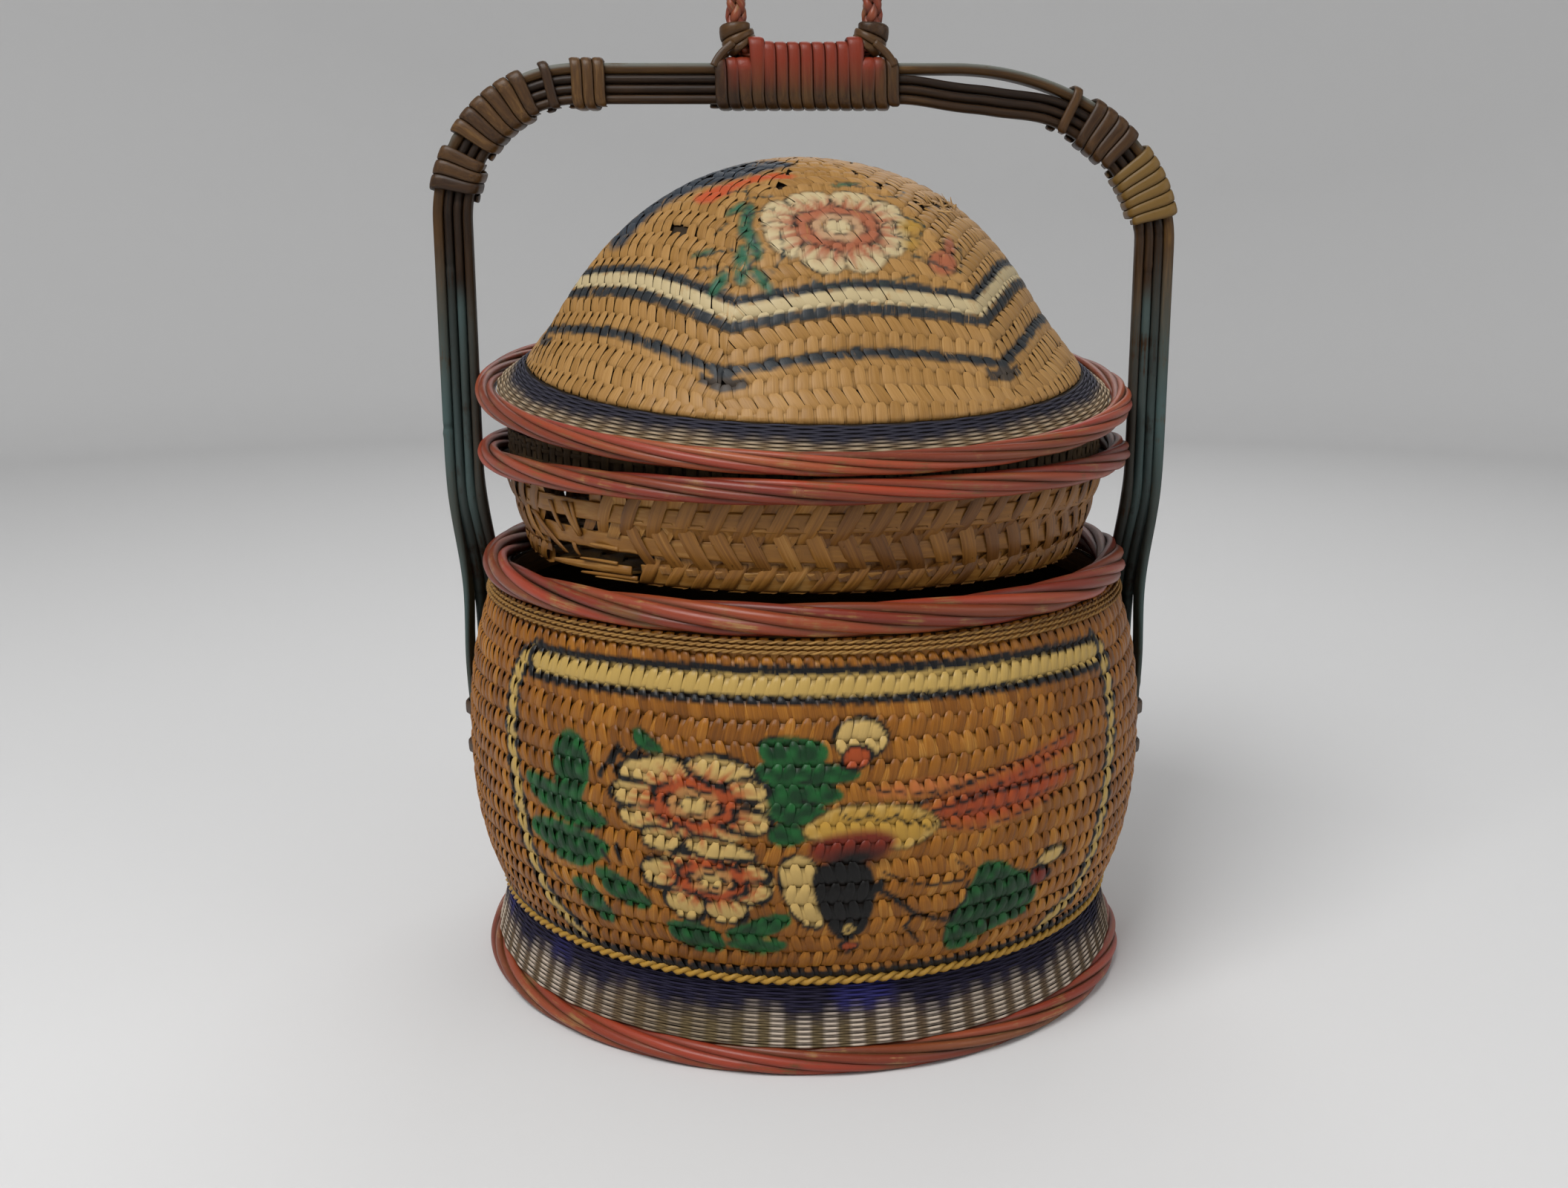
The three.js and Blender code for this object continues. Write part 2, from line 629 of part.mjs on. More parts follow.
// The middle of the ring's tube at a distance along it from its lowest point.
const ringFlat = RING_HALF_WIDTH - RING_CORNER_RADIUS;
const ringBottom = crossbarTop + GAP + RING_TUBE_RADIUS;
const ringCorner = (RING_CORNER_RADIUS * Math.PI) / 2;
const ringTopArc = (RING_HALF_WIDTH * Math.PI) / 2;
const ringHalfLength = ringFlat + ringCorner + RING_SIDE + ringTopArc;
function ringStation(distance) {
  const side = Math.sign(distance) || 1;
  let rest = Math.abs(distance);
  if (rest <= ringFlat) return place(distance, ringBottom, 0, -1);
  rest -= ringFlat;
  const sideBottom = ringBottom + RING_CORNER_RADIUS;
  if (rest <= ringCorner) {
    const turn = rest / RING_CORNER_RADIUS;
    const [dx, dz] = [Math.sin(turn), -Math.cos(turn)];
    const x = ringFlat + RING_CORNER_RADIUS * dx;
    return place(side * x, sideBottom + RING_CORNER_RADIUS * dz, side * dx, dz);
  }
  rest -= ringCorner;
  if (rest <= RING_SIDE) return place(side * RING_HALF_WIDTH, sideBottom + rest, side, 0);
  const turn = (rest - RING_SIDE) / RING_HALF_WIDTH;
  const [dx, dz] = [Math.cos(turn), Math.sin(turn)];
  const z = sideBottom + RING_SIDE + RING_HALF_WIDTH * dz;
  return place(side * RING_HALF_WIDTH * dx, z, side * dx, dz);
}

// How far the centre binding lifts over the ring at a distance from the middle, measured at the
// edge of the strip where the ring has risen most.
function ringLift(distance) {
  if (Math.abs(distance) > HUMP_HALF_LENGTH) return 0;
  const { point, out } = ringStation(Math.abs(distance) + 0.7 * WRAP_WIDTH);
  return point.z - RING_TUBE_RADIUS / out.z - crossbarTop + WRAP_SLACK;
}

const noLift = () => 0;

// One unbroken strip of cane wound round a stretch of bundle or ring. What it holds is given by its
// half sizes and how square it is; lift raises the outer side of a turn over something that lies there.
function winding(stationAt, { from, to, turns, width }, [halfOut, halfAcross, power], lift) {
  const pitch = (to - from) / turns;
  const margin = GAP + WRAP_SLACK + WRAP_THICKNESS / 2;
  const round = (value) => Math.sign(value) * Math.abs(value) ** (2 / power);
  const stations = [];
  for (let i = 0; i <= turns * TURN_STEPS; i++) {
    const turn = (i / TURN_STEPS) * 2 * Math.PI;
    const base = stationAt(from + (i / TURN_STEPS) * pitch);
    const [u, v] = [round(-Math.cos(turn)), round(Math.sin(turn))];
    const crest = from + (Math.floor(i / TURN_STEPS) + 0.5) * pitch;
    const raise = lift(crest) * smooth(u, 0, 0.7);
    const point = base.point.clone().addScaledVector(base.out, u * (halfOut + margin) + raise);
    point.addScaledVector(base.across, v * (halfAcross + margin));
    const along = base.across.clone().cross(base.out);
    stations.push({ point, across: along, base });
  }
  stations.forEach((station, i) => {
    const before = stations[Math.max(i - 1, 0)].point;
    const after = stations[Math.min(i + 1, stations.length - 1)].point;
    station.out = after.clone().sub(before).cross(station.across).normalize();
  });
  return { stations, section: bindingSection(width) };
}

function bindingSection(width) {
  const [u, v] = [width / 2, WRAP_THICKNESS / 2];
  return [[u, v], [-u, v], [-u, -v], [u, -v]];
}

// Least distance between points of a winding that lie on different turns.
function leastSelfGap({ stations, section }) {
  const points = [];
  for (const { point, across, out } of stations) {
    points.push(section.map(([u, v]) => corner(point, across, u, out, v)));
  }
  let least = Infinity;
  for (let i = 0; i < points.length; i++) {
    for (let j = i + TURN_STEPS / 2; j < points.length; j++) {
      for (const a of points[i]) {
        for (const b of points[j]) least = Math.min(least, a.distanceTo(b));
      }
    }
  }
  return least;
}

function addWinding(name, wound, material) {
  addPiece(basket, name, sweep(wound.stations, wound.section), material);
  console.log(`${name}: least gap to itself ${leastSelfGap(wound).toFixed(2)} mm`);
}

// Adds to each binding of one side the stretch that it covers, from the end of the arch inwards.
function laidOut(bindings) {
  let start = 0;
  return bindings.map((binding) => {
    const pitch = binding.width + WRAP_APART;
    const from = start + binding.skip * pitch;
    start = from + binding.turns * pitch;
    return { ...binding, from, to: start };
  });
}

function buildBindings() {
  const held = [bundleThickness / 2, STRIP_WIDTH / 2, WRAP_POWER];
  const half = (CENTRE_TURNS * (WRAP_WIDTH + WRAP_APART)) / 2;
  const centre = { from: -half, to: half, turns: CENTRE_TURNS, width: WRAP_WIDTH };
  addWinding("centre_wrap", winding(bundleStation, centre, held, ringLift), bindingCane);
  for (const left of laidOut(LEFT_BINDINGS)) {
    const stretch = { ...left, from: left.from - archMiddle, to: left.to - archMiddle };
    addWinding(left.name, winding(bundleStation, stretch, held, noLift), bindingCane);
  }
  const archEnd = archLength - archMiddle;
  for (const right of laidOut(RIGHT_BINDINGS)) {
    const stretch = { ...right, from: archEnd - right.to, to: archEnd - right.from };
    addWinding(right.name, winding(bundleStation, stretch, held, noLift), bindingCane);
  }
}

function buildRing() {
  const stations = [];
  const steps = 32;
  for (let i = 0; i < steps; i++) {
    stations.push(ringStation(((2 * i) / steps - 1) * ringHalfLength));
  }
  addPiece(basket, "carry_ring", sweep(stations, roundSection(RING_TUBE_RADIUS, 8), true), redRope);
  const held = [RING_TUBE_RADIUS, RING_TUBE_RADIUS, 2];
  const middle = ringFlat + ringCorner + RING_SIDE / 2;
  const half = (KNOT_TURNS * (KNOT_WIDTH + WRAP_APART)) / 2;
  const knot = { from: middle - half, to: middle + half, turns: KNOT_TURNS, width: KNOT_WIDTH };
  const mirrored = (distance) => ringStation(-distance);
  addWinding("right_ring_knot", winding(ringStation, knot, held, noLift), bindingCane);
  addWinding("left_ring_knot", winding(mirrored, knot, held, noLift), bindingCane);
}

buildBase();
buildTray();
buildLid();
buildCanes();
buildLashings();
buildBindings();
buildRing();

export default part;
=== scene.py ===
"""A tiered wedding basket of painted bamboo: the woven, twisted and wound pieces over its solids."""
import math

import bpy
import numpy as np
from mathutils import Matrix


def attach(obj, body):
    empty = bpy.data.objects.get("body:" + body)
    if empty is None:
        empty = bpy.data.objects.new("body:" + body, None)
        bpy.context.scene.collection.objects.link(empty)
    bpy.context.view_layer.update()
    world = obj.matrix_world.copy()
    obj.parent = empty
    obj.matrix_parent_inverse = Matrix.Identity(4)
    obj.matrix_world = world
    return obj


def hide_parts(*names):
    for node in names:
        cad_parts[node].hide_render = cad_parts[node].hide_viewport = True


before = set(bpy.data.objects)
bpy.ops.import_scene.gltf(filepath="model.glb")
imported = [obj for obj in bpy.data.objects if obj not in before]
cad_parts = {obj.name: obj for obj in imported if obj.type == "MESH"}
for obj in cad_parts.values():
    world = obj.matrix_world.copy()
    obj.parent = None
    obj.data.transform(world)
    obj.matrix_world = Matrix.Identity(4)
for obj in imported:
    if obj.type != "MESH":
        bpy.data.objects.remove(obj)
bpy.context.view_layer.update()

MM = 0.001
TAU = 2 * math.pi
UPWARD, SIDEWAYS = (0.0, 0, 1), (0.0, 1, 0)

# Sizes in millimetres, as in the part's source
GAP = 0.3
RIM_OUTER_RADIUS = 177.0
FOOT_RADIUS, FOOT_ROPE_RADIUS, FOOT_FLAT = 175.0, 6.7, 0.6
SKIRT_HEIGHT = 30.0
WAIST_RADIUS, BASE_WALL, BASE_WALL_HEIGHT = 167.0, 4.0, 172.0
BULGE_RADIUS, BULGE_HEIGHT, LOWER_POWER, UPPER_POWER = 187.0, 88.0, 2.6, 2.2
BASE_FLOOR, RIM_ROPE_RADIUS = 4.0, 8.0
TWINE_HEIGHT = 7.0
MOUTH_HOOP_HEIGHT, MOUTH_HOOP_THICKNESS = 14.0, 3.0
TRAY_RISE, TRAY_ROPE_RADIUS, TRAY_BOTTOM_RADIUS = 51.0, 6.2, 151.0
TRAY_WALL, TRAY_FLOOR, NECK_SHARE = 3.0, 4.0, 0.65
LID_ROPE_RADIUS, LID_TILT, LID_ROLL = 5.6, math.radians(7.1), math.radians(1.1)
BRIM_WALL, BRIM_RISE, DOME_RADIUS, DOME_HEIGHT = 3.0, 11.1, 149.5, 105.5
DOME_SWELL, DOME_FACET_SHARE, DOME_LEAN = 0.5, 0.42, 0.015
DOME_CORNER_TURN = math.radians(14)
LID_HOOP_THICKNESS, LID_HOOP_HEIGHT = 3.0, 8.0
HAND_GAP = 27.5
LEFT_REACH, LEFT_DROP, RIGHT_REACH, RIGHT_DROP = 58.0, 60.0, 100.0, 72.0
STRIP_THICKNESS, STRIP_WIDTH = 5.5, 15.0
CANE_THICKNESS, CANE_WIDTH, CANE_LAYERS, CANE_GAP = 4.6, 9.0, 3, 0.4
REAR_CANE_THICKNESS, REAR_CANE_WIDTH = 6.0, 5.2
LEG_GAP, LEG_END, UPPER_LASHING, LOWER_LASHING = 0.5, 52.0, 35.0, 12.0
LASHING_WIDTH, LASHING_THICKNESS = 8.0, 2.0
WRAP_WIDTH, CORNER_WRAP_WIDTH, THIN_WRAP_WIDTH, KNOT_WIDTH = 5.2, 4.7, 3.6, 3.2
WRAP_THICKNESS, WRAP_APART, WRAP_SLACK, WRAP_POWER = 2.2, 1.2, 0.5, 6
CENTRE_TURNS = 15
RING_TUBE_RADIUS, RING_HALF_WIDTH, RING_CORNER_RADIUS, RING_SIDE = 6.0, 35.5, 16.0, 12.0
HUMP_HALF_LENGTH = 27.0

foot_top = 2 * FOOT_ROPE_RADIUS - FOOT_FLAT
skirt_bottom = foot_top + GAP
skirt_top = skirt_bottom + SKIRT_HEIGHT
wall_bottom = skirt_top + GAP
wall_top = wall_bottom + BASE_WALL_HEIGHT
rim_rope_height = wall_top + GAP + RIM_ROPE_RADIUS
mouth_radius = RIM_OUTER_RADIUS - RIM_ROPE_RADIUS + BASE_WALL / 2
tray_bottom = rim_rope_height + RIM_ROPE_RADIUS + GAP
tray_rope_height = tray_bottom + TRAY_RISE
tray_rope_middle = RIM_OUTER_RADIUS - TRAY_ROPE_RADIUS
tray_top_radius = tray_rope_middle - TRAY_ROPE_RADIUS - GAP
neck_radius = tray_top_radius - TRAY_WALL - GAP
neck_top = tray_rope_height + TRAY_ROPE_RADIUS + NECK_SHARE * 2 * LID_ROPE_RADIUS
lid_rope_middle = RIM_OUTER_RADIUS - LID_ROPE_RADIUS
lid_lean = math.acos(math.cos(LID_TILT) * math.cos(LID_ROLL))
ropes_apart = TRAY_ROPE_RADIUS + LID_ROPE_RADIUS * (1 + math.sin(lid_lean) / 2) + GAP
lid_height = tray_rope_height + ropes_apart + lid_rope_middle * math.sin(lid_lean)
brim_outer = lid_rope_middle - LID_ROPE_RADIUS - GAP
brim_top = BRIM_WALL / 2 + BRIM_RISE
dome_bottom = brim_top + GAP
bundle_thickness = STRIP_THICKNESS + CANE_LAYERS * (CANE_THICKNESS + CANE_GAP)
leg_inner = RIM_OUTER_RADIUS + GAP
leg_end = wall_bottom + LEG_END
bulge_level = wall_bottom + BULGE_HEIGHT
crossbar_height = lid_height + dome_bottom + DOME_HEIGHT + HAND_GAP
crossbar_top = crossbar_height + bundle_thickness


def smooth(x, low, high):
    """0 below the low end, 1 above the high one, and an even ease between them."""
    t = np.clip((x - low) / (high - low), 0, 1)
    return t * t * (3 - 2 * t)


def tint(code):
    """A colour as it looks, in hex, as the linear values that shaders use."""
    values = np.array([int(code[i:i + 2], 16) for i in (0, 2, 4)]) / 255
    return np.where(values <= 0.04045, values / 12.92, ((values + 0.055) / 1.055) ** 2.4)


# Colours as they look
INK, NAVY, CREAM = tint("0b0a09"), tint("0e0e10"), tint("b09250")
PETAL, BLUSH, ORANGE, RED = tint("b89a5c"), tint("ae6432"), tint("9c441c"), tint("6e2412")
LEAF, LEAF_DARK, BLUE, CHALK = tint("195727"), tint("0d3217"), tint("0f1233"), tint("d0c2b3")
STRAW, OXIDE = tint("ae8636"), tint("8c3520")


def coat(colour, cover):
    """A layer of paint: one colour or one for each point, with how far it covers as alpha."""
    cover = np.atleast_1d(cover)[:, None]
    return np.concatenate([np.broadcast_to(colour, (len(cover), 3)), cover], 1)


def unit(vectors):
    """Rows of vectors, each made one long."""
    return vectors / np.linalg.norm(vectors, axis=1, keepdims=True)


# Gathering and making meshes

class Strands:
    """Gathers the strips and strands of one piece, and makes its mesh."""

    def __init__(self):
        self.parts = []
        self.count = 0

    def add(self, points, quads, tris=(), uv=None, **layers):
        """Takes one strip: its points and faces, its map and what is known at each point."""
        points = np.reshape(points, (-1, 3))
        quads = np.reshape(np.asarray(quads, int), (-1, 4)) + self.count
        tris = np.reshape(np.asarray(tris, int), (-1, 3)) + self.count
        uv = np.zeros((len(points), 2)) if uv is None else np.reshape(uv, (-1, 2))
        self.count += len(points)
        filled = {}
        # sunk: how deep a point lies, darkened by the finishes as dirt and painted shade
        for key in ("tone", "sunk"):
            filled[key] = np.broadcast_to(layers.get(key, 0.0), len(points)).astype(float)
        paint = layers.get("paint", np.zeros((1, 4)))
        filled["paint"] = np.broadcast_to(paint, (len(points), 4)).astype(float)
        self.parts.append((points, quads, tris, uv, filled))

    def run(self, path, across, out, section, closed=False, **layers):
        """Takes one strand: a section carried along a path."""
        self.add(*sweep(path, across, out, section, closed), **layers)

    def make(self, name, body, slot, nodes, material, place=None):
        """Joins all strips into one mesh that stands for the named solids."""
        points, quads, tris, uv = (np.concatenate([p[i] for p in self.parts]) for i in range(4))
        if place is not None:
            points = points @ place[:3, :3].T + place[:3, 3]
        corners = np.concatenate([quads.ravel(), tris.ravel()]).astype(np.int32)
        sizes = np.r_[np.full(len(quads), 4), np.full(len(tris), 3)]
        mesh = bpy.data.meshes.new(name)
        mesh.vertices.add(len(points))
        mesh.vertices.foreach_set("co", (points * MM).ravel())
        mesh.loops.add(len(corners))
        mesh.loops.foreach_set("vertex_index", corners)
        mesh.polygons.add(len(sizes))
        mesh.polygons.foreach_set("loop_start", np.r_[0, np.cumsum(sizes)[:-1]].astype(np.int32))
        mesh.update(calc_edges=True)
        mesh.polygons.foreach_set("use_smooth", np.ones(len(sizes), bool))
        mesh.uv_layers.new(name="strand").data.foreach_set("uv", uv[corners].ravel())
        for key in ("tone", "sunk"):
            values = np.concatenate([p[4][key] for p in self.parts])
            mesh.attributes.new(key, "FLOAT", "POINT").data.foreach_set("value", values)
        paint = np.concatenate([p[4]["paint"] for p in self.parts])
        mesh.attributes.new("paint", "FLOAT_COLOR", "POINT").data.foreach_set("color", paint.ravel())
        mesh.materials.append(material)
        thing = bpy.data.objects.new(name, mesh)
        bpy.context.scene.collection.objects.link(thing)
        settle(thing, body, nodes)


def settle(thing, body, nodes):
    """Lets a finished piece ride on its body and stand for its solids."""
    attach(thing, body)
    if nodes:
        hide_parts(*nodes)


def held_volume(points, quads, tris=()):
    """Six times the volume that closed faces hold, negative where they face in."""
    quads, tris = np.reshape(quads, (-1, 4)), np.reshape(np.asarray(tris, int), (-1, 3))
    faces = np.concatenate([quads[:, :3], quads[:, [0, 2, 3]], tris])
    a, b, c = (points[faces[:, m]] for m in range(3))
    return np.einsum("ij,ij->", a, np.cross(b, c))


def sweep(points, across, out, section, closed=False):
    """A section of [across, out] points carried along a path; the section may change on the way."""
    points = np.asarray(points, float)
    across, out = (np.broadcast_to(np.asarray(v, float), points.shape) for v in (across, out))
    n = len(points)
    section = np.asarray(section, float)
    section = np.broadcast_to(section, (n,) + section.shape[-2:])
    k = section.shape[1]
    verts = points[:, None] + section[..., :1] * across[:, None] + section[..., 1:] * out[:, None]
    i = np.arange(n if closed else n - 1)[:, None]
    j = np.arange(k)[None]
    nxt, turn = (i + 1) % n, (j + 1) % k
    quads = np.stack([i * k + j, i * k + turn, nxt * k + turn, nxt * k + j], -1).reshape(-1, 4)
    tris = np.zeros((0, 3), int)
    if not closed:
        fan = np.array([[0, m + 1, m] for m in range(1, k - 1)])
        tris = np.concatenate([fan, fan[:, ::-1] + (n - 1) * k])
    flat = verts.reshape(-1, 3)
    if held_volume(flat, quads, tris) < 0:
        quads, tris = quads[:, ::-1], tris[:, ::-1]
    steps = np.linalg.norm(np.diff(points, axis=0), axis=1)
    along = np.r_[0, np.cumsum(steps)]
    uv = np.stack(np.broadcast_arrays(np.abs(2 * j / k - 1), along[:, None] / 10), -1)
    return flat, quads, tris, uv.reshape(-1, 2)


def round_section(half_across, half_out, sides, power=2.0):
    """A ring of points that is round at power 2 and squarer above it."""
    turn = np.arange(sides) / sides * TAU
    c, s = np.cos(turn), np.sin(turn)
    return np.stack([np.sign(c) * np.abs(c) ** (2 / power) * half_across,
                     np.sign(s) * np.abs(s) ** (2 / power) * half_out], -1)


def spot(turn, radius, height):
    """A point by its turn from the front, positive to the right, its radius and its height."""
    return np.stack(np.broadcast_arrays(radius * np.sin(turn), -radius * np.cos(turn), height), -1)


class Turned:
    """A turned surface that weave lies on, by arc length from its lower edge."""

    def __init__(self, profile):
        self.profile = np.asarray(profile, float)
        steps = np.hypot(*np.diff(self.profile, axis=0).T)
        self.arc = np.r_[0, np.cumsum(steps)]
        self.length = self.arc[-1]
        along = unit(np.gradient(self.profile, self.arc, axis=0))
        self.normal = np.stack([along[:, 1], -along[:, 0]], -1)

    def at(self, s):
        """Radius, height and the normal's two parts at an arc length."""
        s = np.clip(s, 0, self.length)
        return [np.interp(s, self.arc, v) for v in (*self.profile.T, *self.normal.T)]

    def on(self, turn, s, lift):
        """Points over the surface by turn, arc length and lift along the normal."""
        radius, height, out, up = self.at(s)
        return spot(turn, radius + lift * out, height + lift * up)


def turned_shell(profile, around, ripple=None):
    """A closed profile turned round the axis, with an optional ripple of its radius."""
    profile = np.asarray(profile, float)
    turn = np.arange(around) / around * TAU
    radius = np.broadcast_to(profile[:, 0], (around, len(profile))).copy()
    if ripple is not None:
        radius += ripple(turn[:, None], profile[None])
    points = spot(turn[:, None], radius, profile[None, :, 1])
    k = len(profile)
    i, j = np.arange(around)[:, None], np.arange(k)[None]
    nxt, up = (i + 1) % around, (j + 1) % k
    quads = np.stack([i * k + j, nxt * k + j, nxt * k + up, i * k + up], -1).reshape(-1, 4)
    along = np.r_[0, np.cumsum(np.hypot(*np.diff(profile, axis=0).T))]
    arc = turn[:, None] * profile[:, 0].mean() / 10
    uv = np.stack(np.broadcast_arrays(along[None] / 10, arc), -1)
    flat = points.reshape(-1, 3)
    if held_volume(flat, quads) < 0:
        quads = quads[:, ::-1]
    return flat, quads, (), uv.reshape(-1, 2)


# Painting

class Painting:
    """Brushwork on a flat of x and y millimetres, read at the points of a weave."""

    def __init__(self, x, y):
        self.x, self.y = np.ravel(x), np.ravel(y)
        self.rgb = np.zeros((self.x.size, 3))
        self.cover = np.zeros(self.x.size)

    def lay(self, mask, colour):
        """Lays a colour over what is there, as far as its mask covers."""
        mask = np.clip(mask, 0, 1)
        self.rgb += (np.asarray(colour) - self.rgb) * np.where(self.cover > 0.02, mask, mask > 0.02)[:, None]
        self.cover += (1 - self.cover) * mask

    def oval(self, cx, cy, half_x, half_y, turn, colour, soft=0.7):
        """A soft-edged oval, turned about its middle."""
        dx, dy = self.x - cx, self.y - cy
        c, s = math.cos(turn), math.sin(turn)
        away = np.hypot((dx * c + dy * s) / half_x, (dy * c - dx * s) / half_y) - 1
        self.lay(0.5 - away * min(half_x, half_y) / soft, colour)

    def away(self, loop):
        """Distance from a closed outline, negative inside it; far places are left at a large value."""
        loop = np.asarray(loop, float)
        result = np.full(self.x.size, 1e3)
        low, high = loop.min(0) - 6, loop.max(0) + 6
        near = (self.x > low[0]) & (self.x < high[0]) & (self.y > low[1]) & (self.y < high[1])
        x, y = self.x[near], self.y[near]
        best, inside = np.full(x.size, 1e3), np.zeros(x.size, bool)
        for p, q in zip(loop, np.roll(loop, -1, 0)):
            d = q - p
            t = np.clip(((x - p[0]) * d[0] + (y - p[1]) * d[1]) / max(d @ d, 1e-9), 0, 1)
            best = np.minimum(best, np.hypot(x - p[0] - t * d[0], y - p[1] - t * d[1]))
            crossed = (p[1] > y) != (q[1] > y)
            inside ^= crossed & (x < p[0] + (y - p[1]) * d[0] / np.where(d[1] == 0, 1e-9, d[1]))
        result[near] = np.where(inside, -best, best)
        return result

    def blob(self, outline, colour, ink=0.0, soft=0.9, cover=1.0):
        """A rounded shape through set points, with a brush line of uneven width round it."""
        away = self.away(rounded(outline))
        self.lay((0.5 - away / soft) * cover, colour)
        if ink:
            uneven = ink * (0.55 + 0.75 * np.sin(self.x * 0.13 + self.y * 0.21 + 0.7) ** 2)
            self.lay(0.5 + (uneven - np.abs(away)) / 0.8, INK)

    def leaf(self, outline, ink=0.5):
        """A leaf with darker brush marks, and a thin line that comes and goes round it."""
        self.blob(outline, LEAF, 0, 1.2)
        away = self.away(rounded(outline))
        shade = 0.5 + 0.5 * np.sin(self.x * 0.42 + 0.9 * np.sin(self.y * 0.2)) * np.sin(self.y * 0.5 + 1)
        self.lay((0.5 - away / 2.0) * 0.6 * shade, LEAF_DARK)
        kept = smooth(np.sin(self.x * 0.11 - self.y * 0.16 + len(outline)), -0.1, 0.7)
        self.lay((0.5 + (ink - np.abs(away)) / 0.9) * kept, INK)

    def stroke(self, points, width, colour, taper=0.0, wave=0.0, soft=0.8):
        """A brush line through points, which may thin towards its end and waver in width."""
        points = np.asarray(points, float)
        best = np.full(self.x.size, 1e9)
        share = np.zeros(self.x.size)
        for i, (p, q) in enumerate(zip(points[:-1], points[1:])):
            d = q - p
            t = np.clip(((self.x - p[0]) * d[0] + (self.y - p[1]) * d[1]) / (d @ d), 0, 1)
            far = np.hypot(self.x - p[0] - t * d[0], self.y - p[1] - t * d[1])
            near = far < best
            best = np.where(near, far, best)
            share = np.where(near, (i + t) / (len(points) - 1), share)
        half = width / 2 * (1 - taper * share)
        if wave:
            half = half + wave * np.sin((self.x + self.y) * 0.9)
        self.lay(0.5 + (half - best) / soft, colour)

    def layer(self):
        """The finished painting, one colour and cover for each point."""
        return coat(self.rgb, self.cover)


def rounded(outline):
    """A closed outline with its corners cut twice, as a brush rounds them."""
    outline = np.asarray(outline, float)
    for _ in range(2):
        after = np.roll(outline, -1, 0)
        outline = np.stack([0.75 * outline + 0.25 * after, 0.25 * outline + 0.75 * after], 1).reshape(-1, 2)
    return outline


def peony(board, cx, cy, half_x, half_y, petals, ink=1.3, fade=1.0, pale=PETAL, heart=ORANGE):
    """A full-blown peony: pale outer petals that flush towards a red heart with an oval eye."""
    away = np.hypot((board.x - cx) / half_x, (board.y - cy) / half_y)
    round_ = np.arctan2((board.y - cy) / half_y, (board.x - cx) / half_x)
    streaks = 0.10 * np.sin(23 * round_) + 0.07 * np.sin(41 * round_ + 1)
    flush = smooth(away + streaks, 0.42, 0.86)[:, None]
    flushed = heart * (1 - flush) + pale * flush
    board.oval(cx, cy, half_x * 0.86, half_y * 0.82, 0, flushed, 1.5)
    for petal in petals:
        board.blob(petal, flushed, ink, cover=fade)
    for share, colour, line in ((0.50, heart, 1.0), (0.33, (heart + pale) / 2, 0.9), (0.17, pale, 0.8)):
        wave = 1 + 0.07 * np.sin(6 * round_ + share * 9)
        edge = (away / wave - share) * half_y
        board.lay((0.5 - edge / 1.2) * fade, colour)
        broken = smooth(np.sin(4 * round_ + 7 * share), -0.75, 0.1)
        board.lay((0.5 + (line - np.abs(edge)) / 0.8) * broken * fade, INK)


# Weave

def splint_grid(across, along):
    """One flat splint, modelled once: a grid of faces whose copies are laid on the weave."""
    bpy.ops.object.select_all(action="DESELECT")
    bpy.ops.mesh.primitive_grid_add(x_subdivisions=across, y_subdivisions=along, size=1)
    grid = bpy.context.object
    flat = np.array([v.co[:2] for v in grid.data.vertices])
    quads = np.array([f.vertices[:] for f in grid.data.polygons])
    bpy.data.meshes.remove(grid.data)
    return flat[:, 0], flat[:, 1] + 0.5, quads


def stitch_form(across, along, lifts, widths, edge_drop, camber, tilt):
    """A splint that rises out of the weave and tucks back in, as u, v, lift, width and faces."""
    u, v, quads = splint_grid(across, along)
    stops = np.linspace(0, 1, len(lifts))
    lift = np.interp(v, stops, lifts)
    width = np.interp(v, stops, widths)
    side = np.abs(u) * 2
    lift = lift - camber * side ** 2 + tilt * u - edge_drop * (side > 0.99)
    u = np.sign(u) * 0.5 * np.where(side > 0.99, 1.0, side * (1.1 if across > 4 else 1.25))
    # How far a point is tucked under the weave; the finish darkens it as dirt and painted shade
    sunk = np.clip((-0.1 - lift) / 1.1, 0, 1)
    return {"u": u, "v": v, "lift": lift, "width": width, "quads": quads, "sunk": sunk}


def lay_stitches(strands, form, place, tones, paint=None):
    """Lays a copy of a splint at every place: place(form) gives the points and their painting places."""
    count = len(tones)
    points, board = place(form)
    k = len(form["u"])
    quads = (form["quads"][None] + np.arange(count)[:, None, None] * k).reshape(-1, 4)
    tone = np.repeat(tones, k)
    uv = np.stack([np.tile(form["u"], count) + tone * 17, np.tile(form["v"], count) + tone * 29], -1)
    layers = {"tone": tone, "sunk": np.tile(form["sunk"], count)}
    if paint is not None:
        layers["paint"] = paint(*board)
    strands.add(points, quads, (), uv, **layers)


def wall_radius(height):
    """Outer radius of the base wall, which bulges between waist and mouth."""
    rise = np.clip(height - wall_bottom, 0, BASE_WALL_HEIGHT) - BULGE_HEIGHT
    waist = WAIST_RADIUS + BASE_WALL / 2
    low = BULGE_RADIUS + (waist - BULGE_RADIUS) * np.abs(np.minimum(rise, 0) / BULGE_HEIGHT) ** LOWER_POWER
    upper = BASE_WALL_HEIGHT - BULGE_HEIGHT
    high = BULGE_RADIUS + (mouth_radius - BULGE_RADIUS) * (np.maximum(rise, 0) / upper) ** UPPER_POWER
    return np.where(rise < 0, low, high)


wall_heights = np.linspace(wall_bottom, wall_top, 120)
base_surface = Turned(np.stack([wall_radius(wall_heights) - 1.2, wall_heights], -1))
BASE_COLUMNS, BASE_ROWS = 168, 18
ROW_STEP = 0.48  # columns by which every second row is moved
BASE_LEANS = 0.4, -0.34  # columns by which splints of odd and even rows lean
FLAT = 185.0  # radius at which the painting on the base is unrolled

